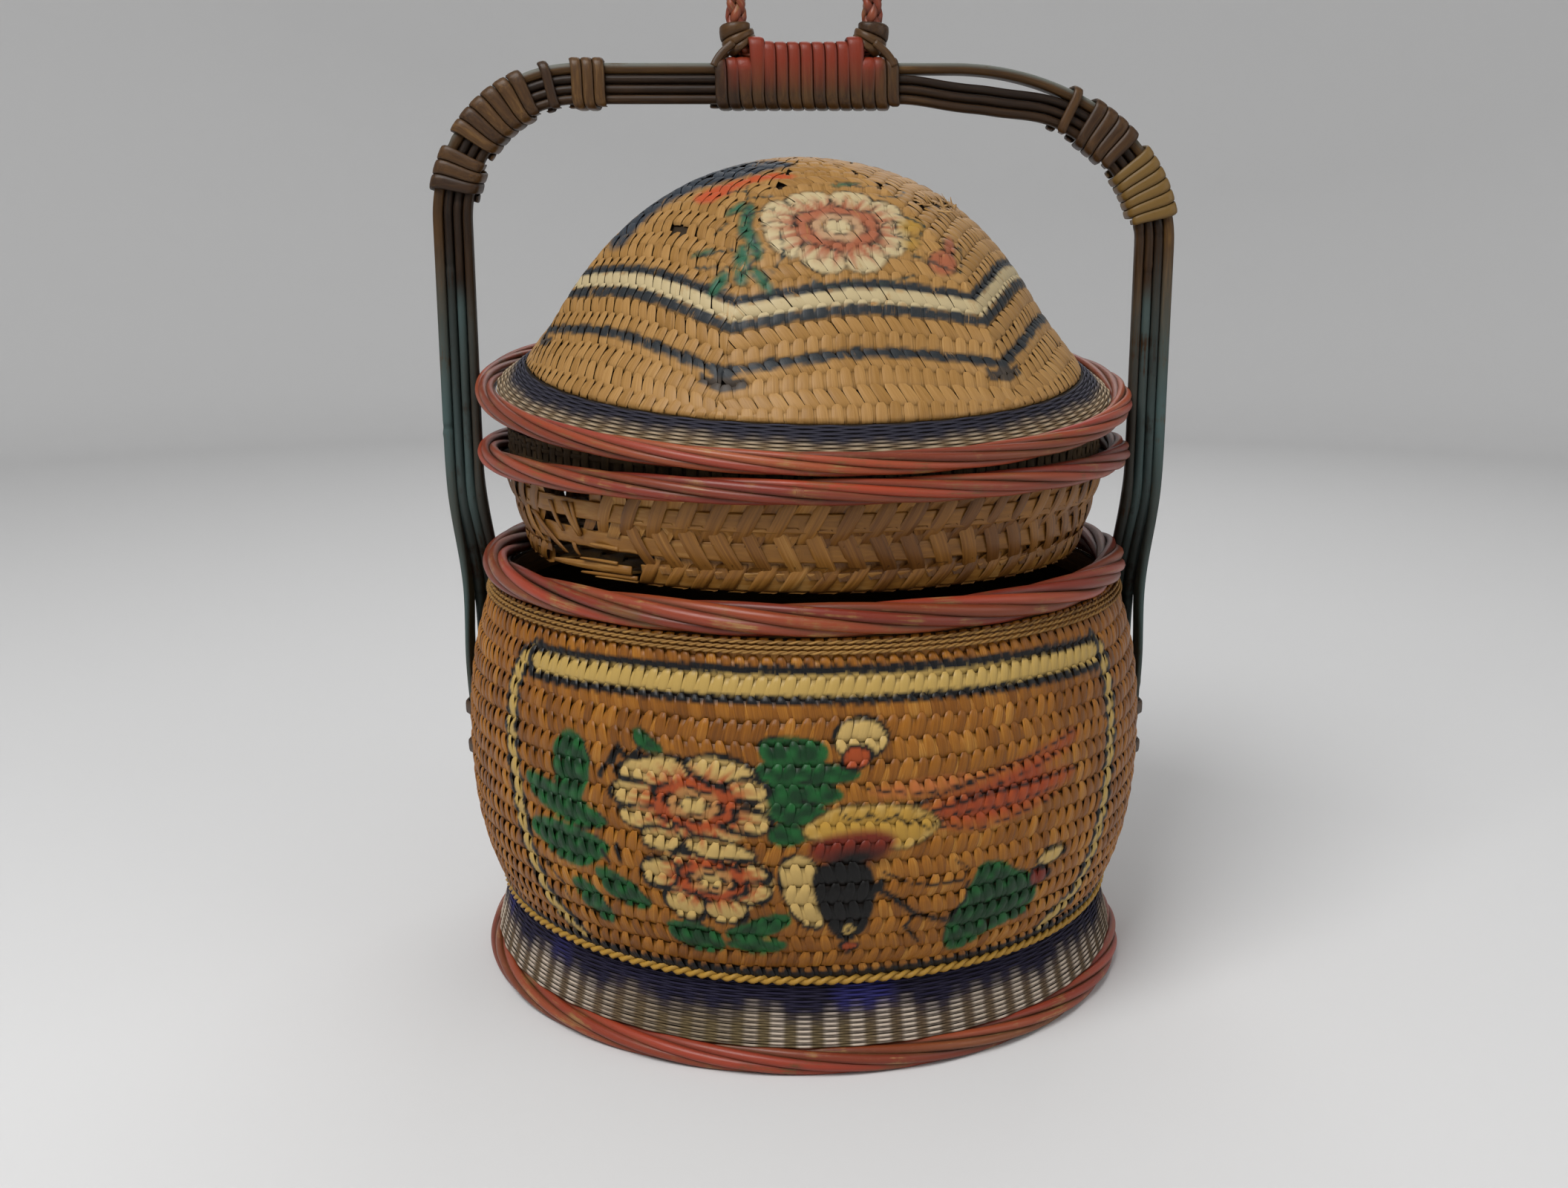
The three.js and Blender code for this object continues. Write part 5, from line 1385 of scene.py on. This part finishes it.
def build_bindings(material):
    """Every cane binding of the handle, and the knots on the ring."""
    held = (bundle_thickness / 2, STRIP_WIDTH / 2, WRAP_POWER)
    half = CENTRE_TURNS * (WRAP_WIDTH + WRAP_APART) / 2
    centre = winding(bundle_at, -half, half, CENTRE_TURNS, WRAP_WIDTH, held, ring_lift, 80, red_top)
    centre.make("centre_binding", "basket", "binding_cane", ["centre_wrap"], material)
    seed = 81
    for bindings, flip in ((LEFT_BINDINGS, False), (RIGHT_BINDINGS, True)):
        for name, first, last, turns, width in laid_out(bindings):
            start, end = arch_start + first, arch_start + last
            if flip:
                start, end = arch_end - last, arch_end - first
            paint = straw_cane if name == "right_shoulder_wrap" else None
            wound = winding(bundle_at, start, end, turns, width, held, no_lift, seed, paint)
            wound.make(name.replace("wrap", "binding"), "basket", "binding_cane", [name], material)
            seed += 1
    middle, span = ring_flat + 1.15 * RING_CORNER_RADIUS, KNOT_TURNS / 2 * (KNOT_WIDTH + WRAP_APART)
    tube = (RING_TUBE_RADIUS, RING_TUBE_RADIUS, 2)
    for name, way in (("left_ring_knot", -1), ("right_ring_knot", 1)):
        def side_at(distance):
            return ring_at(way * distance)
        wound = winding(side_at, middle - span, middle + span, KNOT_TURNS, KNOT_WIDTH, tube, no_lift, seed,
                        pressed=True)
        add_knot_tie(wound, way)
        wound.make(name.replace("knot", "tie"), "basket", "binding_cane", [name], material)
        seed += 1


def add_knot_tie(strands, way):
    """A split cane that runs from the ring's knot down to the end of the centre binding."""
    low = np.array([way * 47.0, -STRIP_WIDTH / 2 - 2.4, crossbar_top - 2])
    high = np.array([way * 36.5, -RING_TUBE_RADIUS - 2.0, crossbar_top + 10])
    for face in (1, -1):
        t = np.linspace(0, 1, 14)[:, None]
        path = low + (high - low) * t + np.array([way * 1.5, 0, 0]) * np.sin(t * math.pi)
        path = path * np.array([1, face, 1])
        out = (0.0, -face, 0)
        side = unit(np.cross(np.gradient(path, axis=0), out))
        strands.run(path, side, out, round_section(2.0, 0.9, 8, 3), tone=0.6, sunk=0.1)


# Finishes

def effect(name, inputs, outputs):
    """An empty shader node group with its named sockets."""
    tree = bpy.data.node_groups.new(name, "ShaderNodeTree")
    for label, kind in inputs:
        tree.interface.new_socket(label, in_out="INPUT", socket_type="NodeSocket" + kind)
    for label, kind in outputs:
        tree.interface.new_socket(label, in_out="OUTPUT", socket_type="NodeSocket" + kind)
    return tree, tree.nodes.new("NodeGroupInput"), tree.nodes.new("NodeGroupOutput")


def put(tree, kind, links=(), **settings):
    """Adds a node, sets it, and joins its inputs: a link is a socket, a plain value is set."""
    made = tree.nodes.new("ShaderNode" + kind)
    for key, value in settings.items():
        setattr(made, key, value)
    for key, source in dict(links).items():
        if isinstance(source, bpy.types.NodeSocket):
            tree.links.new(source, made.inputs[key])
        else:
            made.inputs[key].default_value = source
    return made


def sum_of(tree, *terms):
    """The sum of sockets, each times its weight."""
    total = None
    for socket, weight in terms:
        links = {0: socket, 1: weight, 2: 0.0 if total is None else total}
        total = put(tree, "Math", links, operation="MULTIPLY_ADD").outputs[0]
    return total


def noise(tree, place, scale, detail, rough=0.5):
    """A value that varies from place to place."""
    links = {"Vector": place, "Scale": scale, "Detail": detail, "Roughness": rough}
    return put(tree, "TexNoise", links).outputs[0]


def times(tree, first, second, **settings):
    """The product of two values."""
    return put(tree, "Math", {0: first, 1: second}, operation="MULTIPLY", **settings).outputs[0]


def fibre_effect():
    """Grain that runs along a strand and differs from strand to strand."""
    tree, given, result = effect("fibre", (("Strand", "Vector"), ("Tone", "Float"), ("Fineness", "Float")),
                                 (("Streak", "Float"), ("Height", "Float")))
    parts = put(tree, "SeparateXYZ", {0: given.outputs["Strand"]})
    across = times(tree, parts.outputs[0], given.outputs["Fineness"])
    along = times(tree, parts.outputs[1], 0.45)
    apart = times(tree, given.outputs["Tone"], 57.0)
    place = put(tree, "CombineXYZ", {0: across, 1: along, 2: apart}).outputs[0]
    broad, fine = noise(tree, place, 1.0, 3.0, 0.6), noise(tree, place, 3.7, 2.0)
    tree.links.new(broad, result.inputs["Streak"])
    tree.links.new(sum_of(tree, (broad, 0.6), (fine, 0.4)), result.inputs["Height"])
    return tree


def wear_effect():
    """Where paint is left: its cover, broken by rubbed places and by the grain."""
    tree, given, result = effect("wear", (("Cover", "Float"), ("Streak", "Float"), ("Place", "Vector"),
                                          ("Amount", "Float")), (("Mask", "Float"),))
    rubbed = noise(tree, given.outputs["Place"], 60.0, 5.0, 0.62)
    mixed = sum_of(tree, (rubbed, 0.6), (given.outputs["Streak"], 0.4), (given.outputs["Amount"], 0.6))
    bare = put(tree, "MapRange", {0: mixed, 1: 0.70, 2: 0.84}, interpolation_type="SMOOTHSTEP")
    kept = put(tree, "Math", {0: 1.0, 1: bare.outputs[0]}, operation="SUBTRACT")
    tree.links.new(times(tree, kept.outputs[0], given.outputs["Cover"]), result.inputs["Mask"])
    return tree


def grime_and_shade_effect():
    """Darkening in the sunken places of the weave: dust and old varnish there, and painted shade where the
    weave hides them from the light.
    """
    tree, given, result = effect("grime_and_shade", (("Sunk", "Float"), ("Place", "Vector"), ("Amount", "Float")),
                                 (("Mask", "Float"), ("Fade", "Float")))
    patch = noise(tree, given.outputs["Place"], 17.0, 4.0, 0.6)
    held = times(tree, given.outputs["Sunk"], times(tree, patch, 0.9))
    tree.links.new(times(tree, held, given.outputs["Amount"], use_clamp=True), result.inputs["Mask"])
    tree.links.new(noise(tree, given.outputs["Place"], 7.0, 3.0), result.inputs["Fade"])
    return tree


FIBRE, WEAR, GRIME_AND_SHADE = fibre_effect(), wear_effect(), grime_and_shade_effect()


def cane_finish(name, shades, dirt_and_shade_colour, rough, coat, worn, fineness=7.0, soil_and_shade=1.1, shine=0.3):
    """Split or peeled bamboo: grain, its shades from strand to strand, worn paint, and grime with painted shade
    in the sunken places.
    """
    material = bpy.data.materials.new(name)
    material.use_nodes = True
    tree = material.node_tree
    tree.nodes.clear()
    place = put(tree, "TexCoord").outputs["Object"]
    strand = put(tree, "UVMap", uv_map="strand").outputs[0]
    tone, sunk, paint = (put(tree, "Attribute", attribute_name=key) for key in ("tone", "sunk", "paint"))
    fibre = put(tree, "Group", {"Strand": strand, "Tone": tone.outputs["Fac"], "Fineness": fineness},
                node_tree=FIBRE)
    grime_and_shade = put(tree, "Group", {"Sunk": sunk.outputs["Fac"], "Place": place, "Amount": soil_and_shade}, node_tree=GRIME_AND_SHADE)
    wear = put(tree, "Group", {"Cover": paint.outputs["Alpha"], "Streak": fibre.outputs["Streak"],
                               "Place": place, "Amount": worn}, node_tree=WEAR)
    shade = sum_of(tree, (tone.outputs["Fac"], 0.45), (fibre.outputs["Streak"], 0.75),
                   (grime_and_shade.outputs["Fade"], 0.7))
    shade = put(tree, "MapRange", {0: shade, 1: 0.45, 2: 1.5}).outputs[0]
    ramp = put(tree, "ValToRGB", {0: shade})
    stops = np.linspace(0.0, 1.0, len(shades))
    for i, (stop, code) in enumerate(zip(stops, shades)):
        mark = ramp.color_ramp.elements[i] if i in (0, 1) else ramp.color_ramp.elements.new(stop)
        mark.position = stop
        mark.color = (*tint(code), 1)
    dressed = put(tree, "Mix", {"Factor": wear.outputs["Mask"], 6: ramp.outputs[0], 7: paint.outputs["Color"]},
                  data_type="RGBA")
    # Dirt and painted shade darken the sunken places
    soiled_and_shaded = put(tree, "Mix", {"Factor": grime_and_shade.outputs["Mask"], 6: dressed.outputs[2], 7: (*tint(dirt_and_shade_colour), 1)},
                 data_type="RGBA")
    dull = sum_of(tree, (fibre.outputs["Height"], 0.25), (grime_and_shade.outputs["Mask"], 0.3))
    dull = put(tree, "Math", {0: dull, 1: rough}, operation="ADD", use_clamp=True).outputs[0]
    bump = put(tree, "Bump", {"Height": fibre.outputs["Height"], "Strength": 0.35, "Distance": 0.0006})
    shader = put(tree, "BsdfPrincipled", {"Base Color": soiled_and_shaded.outputs[2], "Roughness": dull,
                                          "Normal": bump.outputs[0], "Specular IOR Level": shine,
                                          "Coat Weight": coat, "Coat Roughness": 0.22})
    output = put(tree, "OutputMaterial")
    tree.links.new(shader.outputs[0], output.inputs[0])
    return material


# Shades from dark to light, the colour of dirt and painted shade in hollows, roughness, coat and how far paint
# is worn
painted_splint = cane_finish("painted_splint", ("4f2d09", "784711", "965f1b", "bd8c42"), "1c0f05",
                             0.3, 0.1, 0.06, shine=0.2)
# A paler copy of the painted splint for the dome: painted light where it faces up, with more of its paint worn
lit_dome_splint = cane_finish("lit_dome_splint", ("6a4a22", "8e6732", "a57d48", "c09e68"), "231508", 0.38, 0.05, 0.24,
                          shine=0.25)
tray_splint = cane_finish("tray_splint", ("3f2409", "6a4217", "936428", "c2985a"), "150c04", 0.36, 0.12, 0.1)
raw_splint = cane_finish("raw_splint", ("4e3517", "785527", "a0773c", "c39c5e"), "20150b", 0.5, 0.0, 0.1)
# A darker copy of the plain splint finish for the linings and the collar: painted shade
shaded_splint = cane_finish("shaded_splint", ("2b1f11", "40301b", "5a4527", "6d5636"), "070402", 0.6, 0.0, 0.1)
red_lacquer_cane = cane_finish("red_lacquer_cane", ("42260f", "6c4220", "946a3c", "b5905c"), "0d0604",
                               0.34, 0.2, 0.3, soil_and_shade=1.9)
fine_wicker = cane_finish("fine_wicker", ("5f4829", "826640", "9f8456"), "0f0b0b", 0.5, 0.0, 0.1, soil_and_shade=1.3,
                          shine=0.2)
dark_cane = cane_finish("dark_cane", ("0c0603", "1d1107", "35220f", "5e4320"), "040201", 0.36, 0.06, 0.3,
                        fineness=9.0, shine=0.2)
worn_teal_strip = cane_finish("worn_teal_strip", ("160c05", "2d1c0c", "4c3418", "7c5c30"), "040201",
                              0.38, 0.06, 0.27, fineness=10.0, shine=0.2)
binding_cane = cane_finish("binding_cane", ("170d05", "301d0c", "4e3417", "7c5c30"), "060301", 0.34, 0.1, 0.15,
                           soil_and_shade=1.4, shine=0.25)


# Making the pieces

def turn_about(axis, angle):
    """A turn about the x or y axis, as a matrix."""
    c, s = math.cos(angle), math.sin(angle)
    i, j = {"x": (1, 2), "y": (2, 0)}[axis]
    matrix = np.eye(4)
    matrix[i, i] = matrix[j, j] = c
    matrix[i, j], matrix[j, i] = -s, s
    return matrix


lid_place = turn_about("x", LID_TILT) @ turn_about("y", LID_ROLL)
lid_place[2, 3] = lid_height


# Splints of the base by their rise and width along the way, their rounding and their tilt
RAISED_SPLINT = {"lifts": [-1.7, -0.6, 0.2, 0.65, 0.95, 1.12, 1.2, 1.0, 0.1],
                 "widths": [0.7, 0.74, 0.76, 0.77, 0.77, 0.76, 0.72, 0.62, 0.36],
                 "edge_drop": 0.42, "camber": 0.2, "tilt": 0.25}
SUNKEN_SPLINT = {"lifts": [-1.6, -0.5, 0.15, 0.45, 0.55, 0.2, -1.0], "widths": [0.62] * 7,
                 "edge_drop": 0.25, "camber": 0.12, "tilt": 0.1}
FRONT_HALF = 44  # columns of the finer, painted front on each side of its middle
# Each share of the weave: columns, cuts of a raised and of a sunken splint, seed, and the solid it stands for
BASE_WEAVES = {"base_front_weave": ((-FRONT_HALF, FRONT_HALF), (5, 8), (3, 5), 21, ["base_wall"]),
               "base_back_weave": ((FRONT_HALF, BASE_COLUMNS - FRONT_HALF), (4, 6), (2, 4), 22, [])}


def build_base():
    """The base from its foot to its rim."""
    for name, (columns, raised_cuts, sunken_cuts, seed, nodes) in BASE_WEAVES.items():
        weave = base_stitches(np.arange(*columns), stitch_form(*raised_cuts, **RAISED_SPLINT),
                              stitch_form(*sunken_cuts, **SUNKEN_SPLINT), seed)
        weave.make(name, "basket", "painted_bamboo", nodes, painted_splint)
    twining((wall_bottom + 2.4,), lambda z: float(wall_radius(z)) - 0.2, BASE_COLUMNS // 2, 1.5, 23,
            coat(STRAW, 0.9)).make("waist_twine", "basket", "painted_bamboo", [], painted_splint)
    base_lining().make("base_lining_weave", "basket", "painted_bamboo", [], shaded_splint)
    rope(FOOT_RADIUS, FOOT_ROPE_RADIUS - FOOT_FLAT, FOOT_ROPE_RADIUS, 31, 0.0).make(
        "foot_twist", "basket", "red_rope", ["foot_rope"], red_lacquer_cane)
    rope(RIM_OUTER_RADIUS - RIM_ROPE_RADIUS, rim_rope_height, RIM_ROPE_RADIUS, 32).make(
        "base_rim_twist", "basket", "red_rope", ["base_rim_rope"], red_lacquer_cane)
    skirt = Turned([(FOOT_RADIUS + 0.5, skirt_bottom), (WAIST_RADIUS + 0.5, skirt_top)])
    wicker(skirt, foot_colour, 41).make(
        "foot_wicker", "basket", "navy_wicker", ["foot_skirt"], fine_wicker)
    twine_low = wall_top - GAP - TWINE_HEIGHT
    rows = [twine_low + rise for rise in (1.4, 3.6, 5.8)]
    twining(rows, lambda z: float(wall_radius(z)) + 1.3, 120, 0.6, 42).make(
        "rim_twining", "basket", "raw_splint", ["base_rim_twine"], raw_splint)
    woven_floor(WAIST_RADIUS - BASE_WALL / 2 - GAP, wall_bottom, BASE_FLOOR, 14.0, 43).make(
        "base_floor_weave", "basket", "raw_splint", ["base_floor"], raw_splint)
    low = wall_top - MOUTH_HOOP_HEIGHT
    radius = min(float(wall_radius(low)), mouth_radius) - BASE_WALL - GAP
    hoop("mouth_band", radius, low, wall_top, MOUTH_HOOP_THICKNESS, "basket", ["base_mouth_hoop"], raw_splint)


def build_tray():
    """The tray with its broken front."""
    lifts, widths = [-0.9, 0.1, 0.9, 1.5, 1.75, 1.75, 1.5, 0.9, 0.1, -0.9], [0.9] + [1] * 8 + [0.9]
    form = stitch_form(6, 9, lifts, widths, 0.55, 0.12, 0.0)
    tray_weave(form, 51).make("tray_weave", "tray", "raw_splint", ["tray_wall"], tray_splint)
    tray_neck(61).make("tray_collar", "tray", "raw_splint", ["tray_neck"], shaded_splint)
    woven_floor(TRAY_BOTTOM_RADIUS - TRAY_WALL - GAP, tray_bottom, TRAY_FLOOR, 13.0, 53).make(
        "tray_floor_weave", "tray", "raw_splint", ["tray_floor"], raw_splint)
    rope(tray_rope_middle, tray_rope_height, TRAY_ROPE_RADIUS, 54).make(
        "tray_twist", "tray", "red_rope", ["tray_rope"], red_lacquer_cane)


def build_lid():
    """The lid, tilted as it lies on the tray."""
    lifts = [-1.35, -0.25, 0.3, 0.5, 0.58, 0.6, 0.55, 0.2]
    tongue = stitch_form(4, 7, lifts, [0.7, 0.76, 0.78, 0.78, 0.78, 0.76, 0.7, 0.44], 0.2, 0.06, 0.12)
    leaning = stitch_form(4, 7, lifts, [0.84, 0.92, 0.95, 0.96, 0.95, 0.92, 0.84, 0.55], 0.2, 0.06, 0.12)
    filler = stitch_form(2, 4, [-1.1, -0.2, 0.1, -0.1, -0.9], [0.5] * 5, 0.2, 0.1, 0.0)
    dome = dome_stitches(tongue, leaning, filler, 55)
    dome.make("dome_weave", "lid", "painted_bamboo", ["lid_dome"], lit_dome_splint, lid_place)
    dome_lining().make("dome_lining_weave", "lid", "painted_bamboo", [], shaded_splint, lid_place)
    brim = Turned([(brim_outer, 0.6), (DOME_RADIUS + 0.8, brim_top - 0.2)])
    wicker(brim, brim_colour, 56).make(
        "brim_wicker", "lid", "navy_wicker", ["lid_brim"], fine_wicker, lid_place)
    rope(lid_rope_middle, 0.0, LID_ROPE_RADIUS, 57).make(
        "lid_twist", "lid", "red_rope", ["lid_rope"], red_lacquer_cane, lid_place)
    hoop("lid_band", DOME_RADIUS - GAP, brim_top - GAP - LID_HOOP_HEIGHT, brim_top - GAP, LID_HOOP_THICKNESS,
         "lid", ["lid_hoop"], raw_splint, lid_place)


def build_handle():
    """The bent bundle, its lashings, the ring and the bindings."""
    for seed, layer in enumerate(LAYERS, 91):
        strip = layer[0] == "handle_outer_strip"
        finish = worn_teal_strip if strip else dark_cane
        handle_cane(layer, seed).make(layer[0].replace("handle", "bent"), "basket",
                                      "teal_strip" if strip else "handle_cane", [layer[0]], finish)
    for side, label in ((-1, "left"), (1, "right")):
        for level, height in (("upper", UPPER_LASHING), ("lower", LOWER_LASHING)):
            lashing(side, leg_end + height).make(f"{label}_{level}_band", "basket", "binding_cane",
                                                 [f"{label}_{level}_lashing"], binding_cane)
    braided_ring().make("braided_ring", "basket", "red_rope", ["carry_ring"], red_lacquer_cane)
    build_bindings(binding_cane)


build_base()
build_tray()
build_lid()
build_handle()


# Stage, camera and light

def plain_finish(name, code, rough):
    """An even finish for the stage."""
    material = bpy.data.materials.new(name)
    material.use_nodes = True
    shader = material.node_tree.nodes["Principled BSDF"]
    shader.inputs["Base Color"].default_value = (*tint(code), 1)
    shader.inputs["Roughness"].default_value = rough
    return material


def pale_floor():
    """A round floor that curves up into a backdrop on every side."""
    bpy.ops.object.select_all(action="DESELECT")
    bpy.ops.mesh.primitive_circle_add(vertices=96, radius=2.4, fill_type="NGON")
    floor = bpy.context.object
    floor.name = floor.data.name = "pale_floor"
    bpy.ops.object.mode_set(mode="EDIT")
    bpy.ops.mesh.select_mode(type="FACE")
    bpy.ops.mesh.select_all(action="SELECT")
    bpy.ops.mesh.region_to_loop()
    for rise, grow in ((0.03, 1.06), (0.09, 1.05), (0.16, 1.04), (0.22, 1.03), (0.28, 1.02), (1.6, 1.0)):
        bpy.ops.mesh.extrude_region_move(TRANSFORM_OT_translate={"value": (0, 0, rise)})
        bpy.ops.transform.resize(value=(grow, grow, 1))
    bpy.ops.object.mode_set(mode="OBJECT")
    bpy.ops.object.shade_smooth_by_angle(angle=math.radians(50))
    floor.data.materials.append(plain_finish("pale_paper", "d6d6d6", 0.85))


# Lamps by place, aim, size and power, and the camera as it stood for the photograph
LAMPS = {"window_light": ((-0.8, -1.25, 1.95), (0, 0, 0.25), 1.2, 44),
         "side_fill": ((1.7, -0.9, 1.0), (0, 0, 0.25), 1.4, 8),
         "back_fill": ((0.3, 1.6, 1.8), (0, 0, 0.3), 1.4, 10)}
SKY_COLOUR, SKY_STRENGTH = (1, 0.985, 0.96, 1), 0.25
CAMERA_PLACE, CAMERA_TILT = (0, -0.8789, 0.3948), math.radians(77.38)
SENSOR_WIDTH, LENS, LENS_SHIFT = 36.0, 36.65, -0.0128


def soft_lamp(name, place, aim, size, power):
    """A square area lamp that faces its aim."""
    bpy.ops.object.select_all(action="DESELECT")
    bpy.ops.object.light_add(type="AREA", location=place)
    lamp = bpy.context.object
    lamp.name = name
    lamp.data.energy, lamp.data.size = power, size
    toward = np.array(aim) - np.array(place)
    lamp.rotation_euler = (math.acos(-toward[2] / np.linalg.norm(toward)), 0,
                           math.atan2(toward[1], toward[0]) - math.pi / 2)


def light_and_look():
    """Floor, lamps, sky and camera."""
    pale_floor()
    for name, lamp in LAMPS.items():
        soft_lamp(name, *lamp)
    world = bpy.data.worlds.new("studio")
    bpy.context.scene.world = world
    world.use_nodes = True
    sky = world.node_tree.nodes["Background"]
    sky.inputs["Color"].default_value = SKY_COLOUR
    sky.inputs["Strength"].default_value = SKY_STRENGTH
    bpy.ops.object.camera_add(location=CAMERA_PLACE, rotation=(CAMERA_TILT, 0, 0))
    camera = bpy.context.object
    camera.name = "photo_view"
    camera.data.sensor_width, camera.data.lens, camera.data.shift_x = SENSOR_WIDTH, LENS, LENS_SHIFT
    camera.data.clip_start = 0.01
    bpy.context.scene.camera = camera
    bpy.context.scene.view_settings.view_transform = "Standard"


light_and_look()
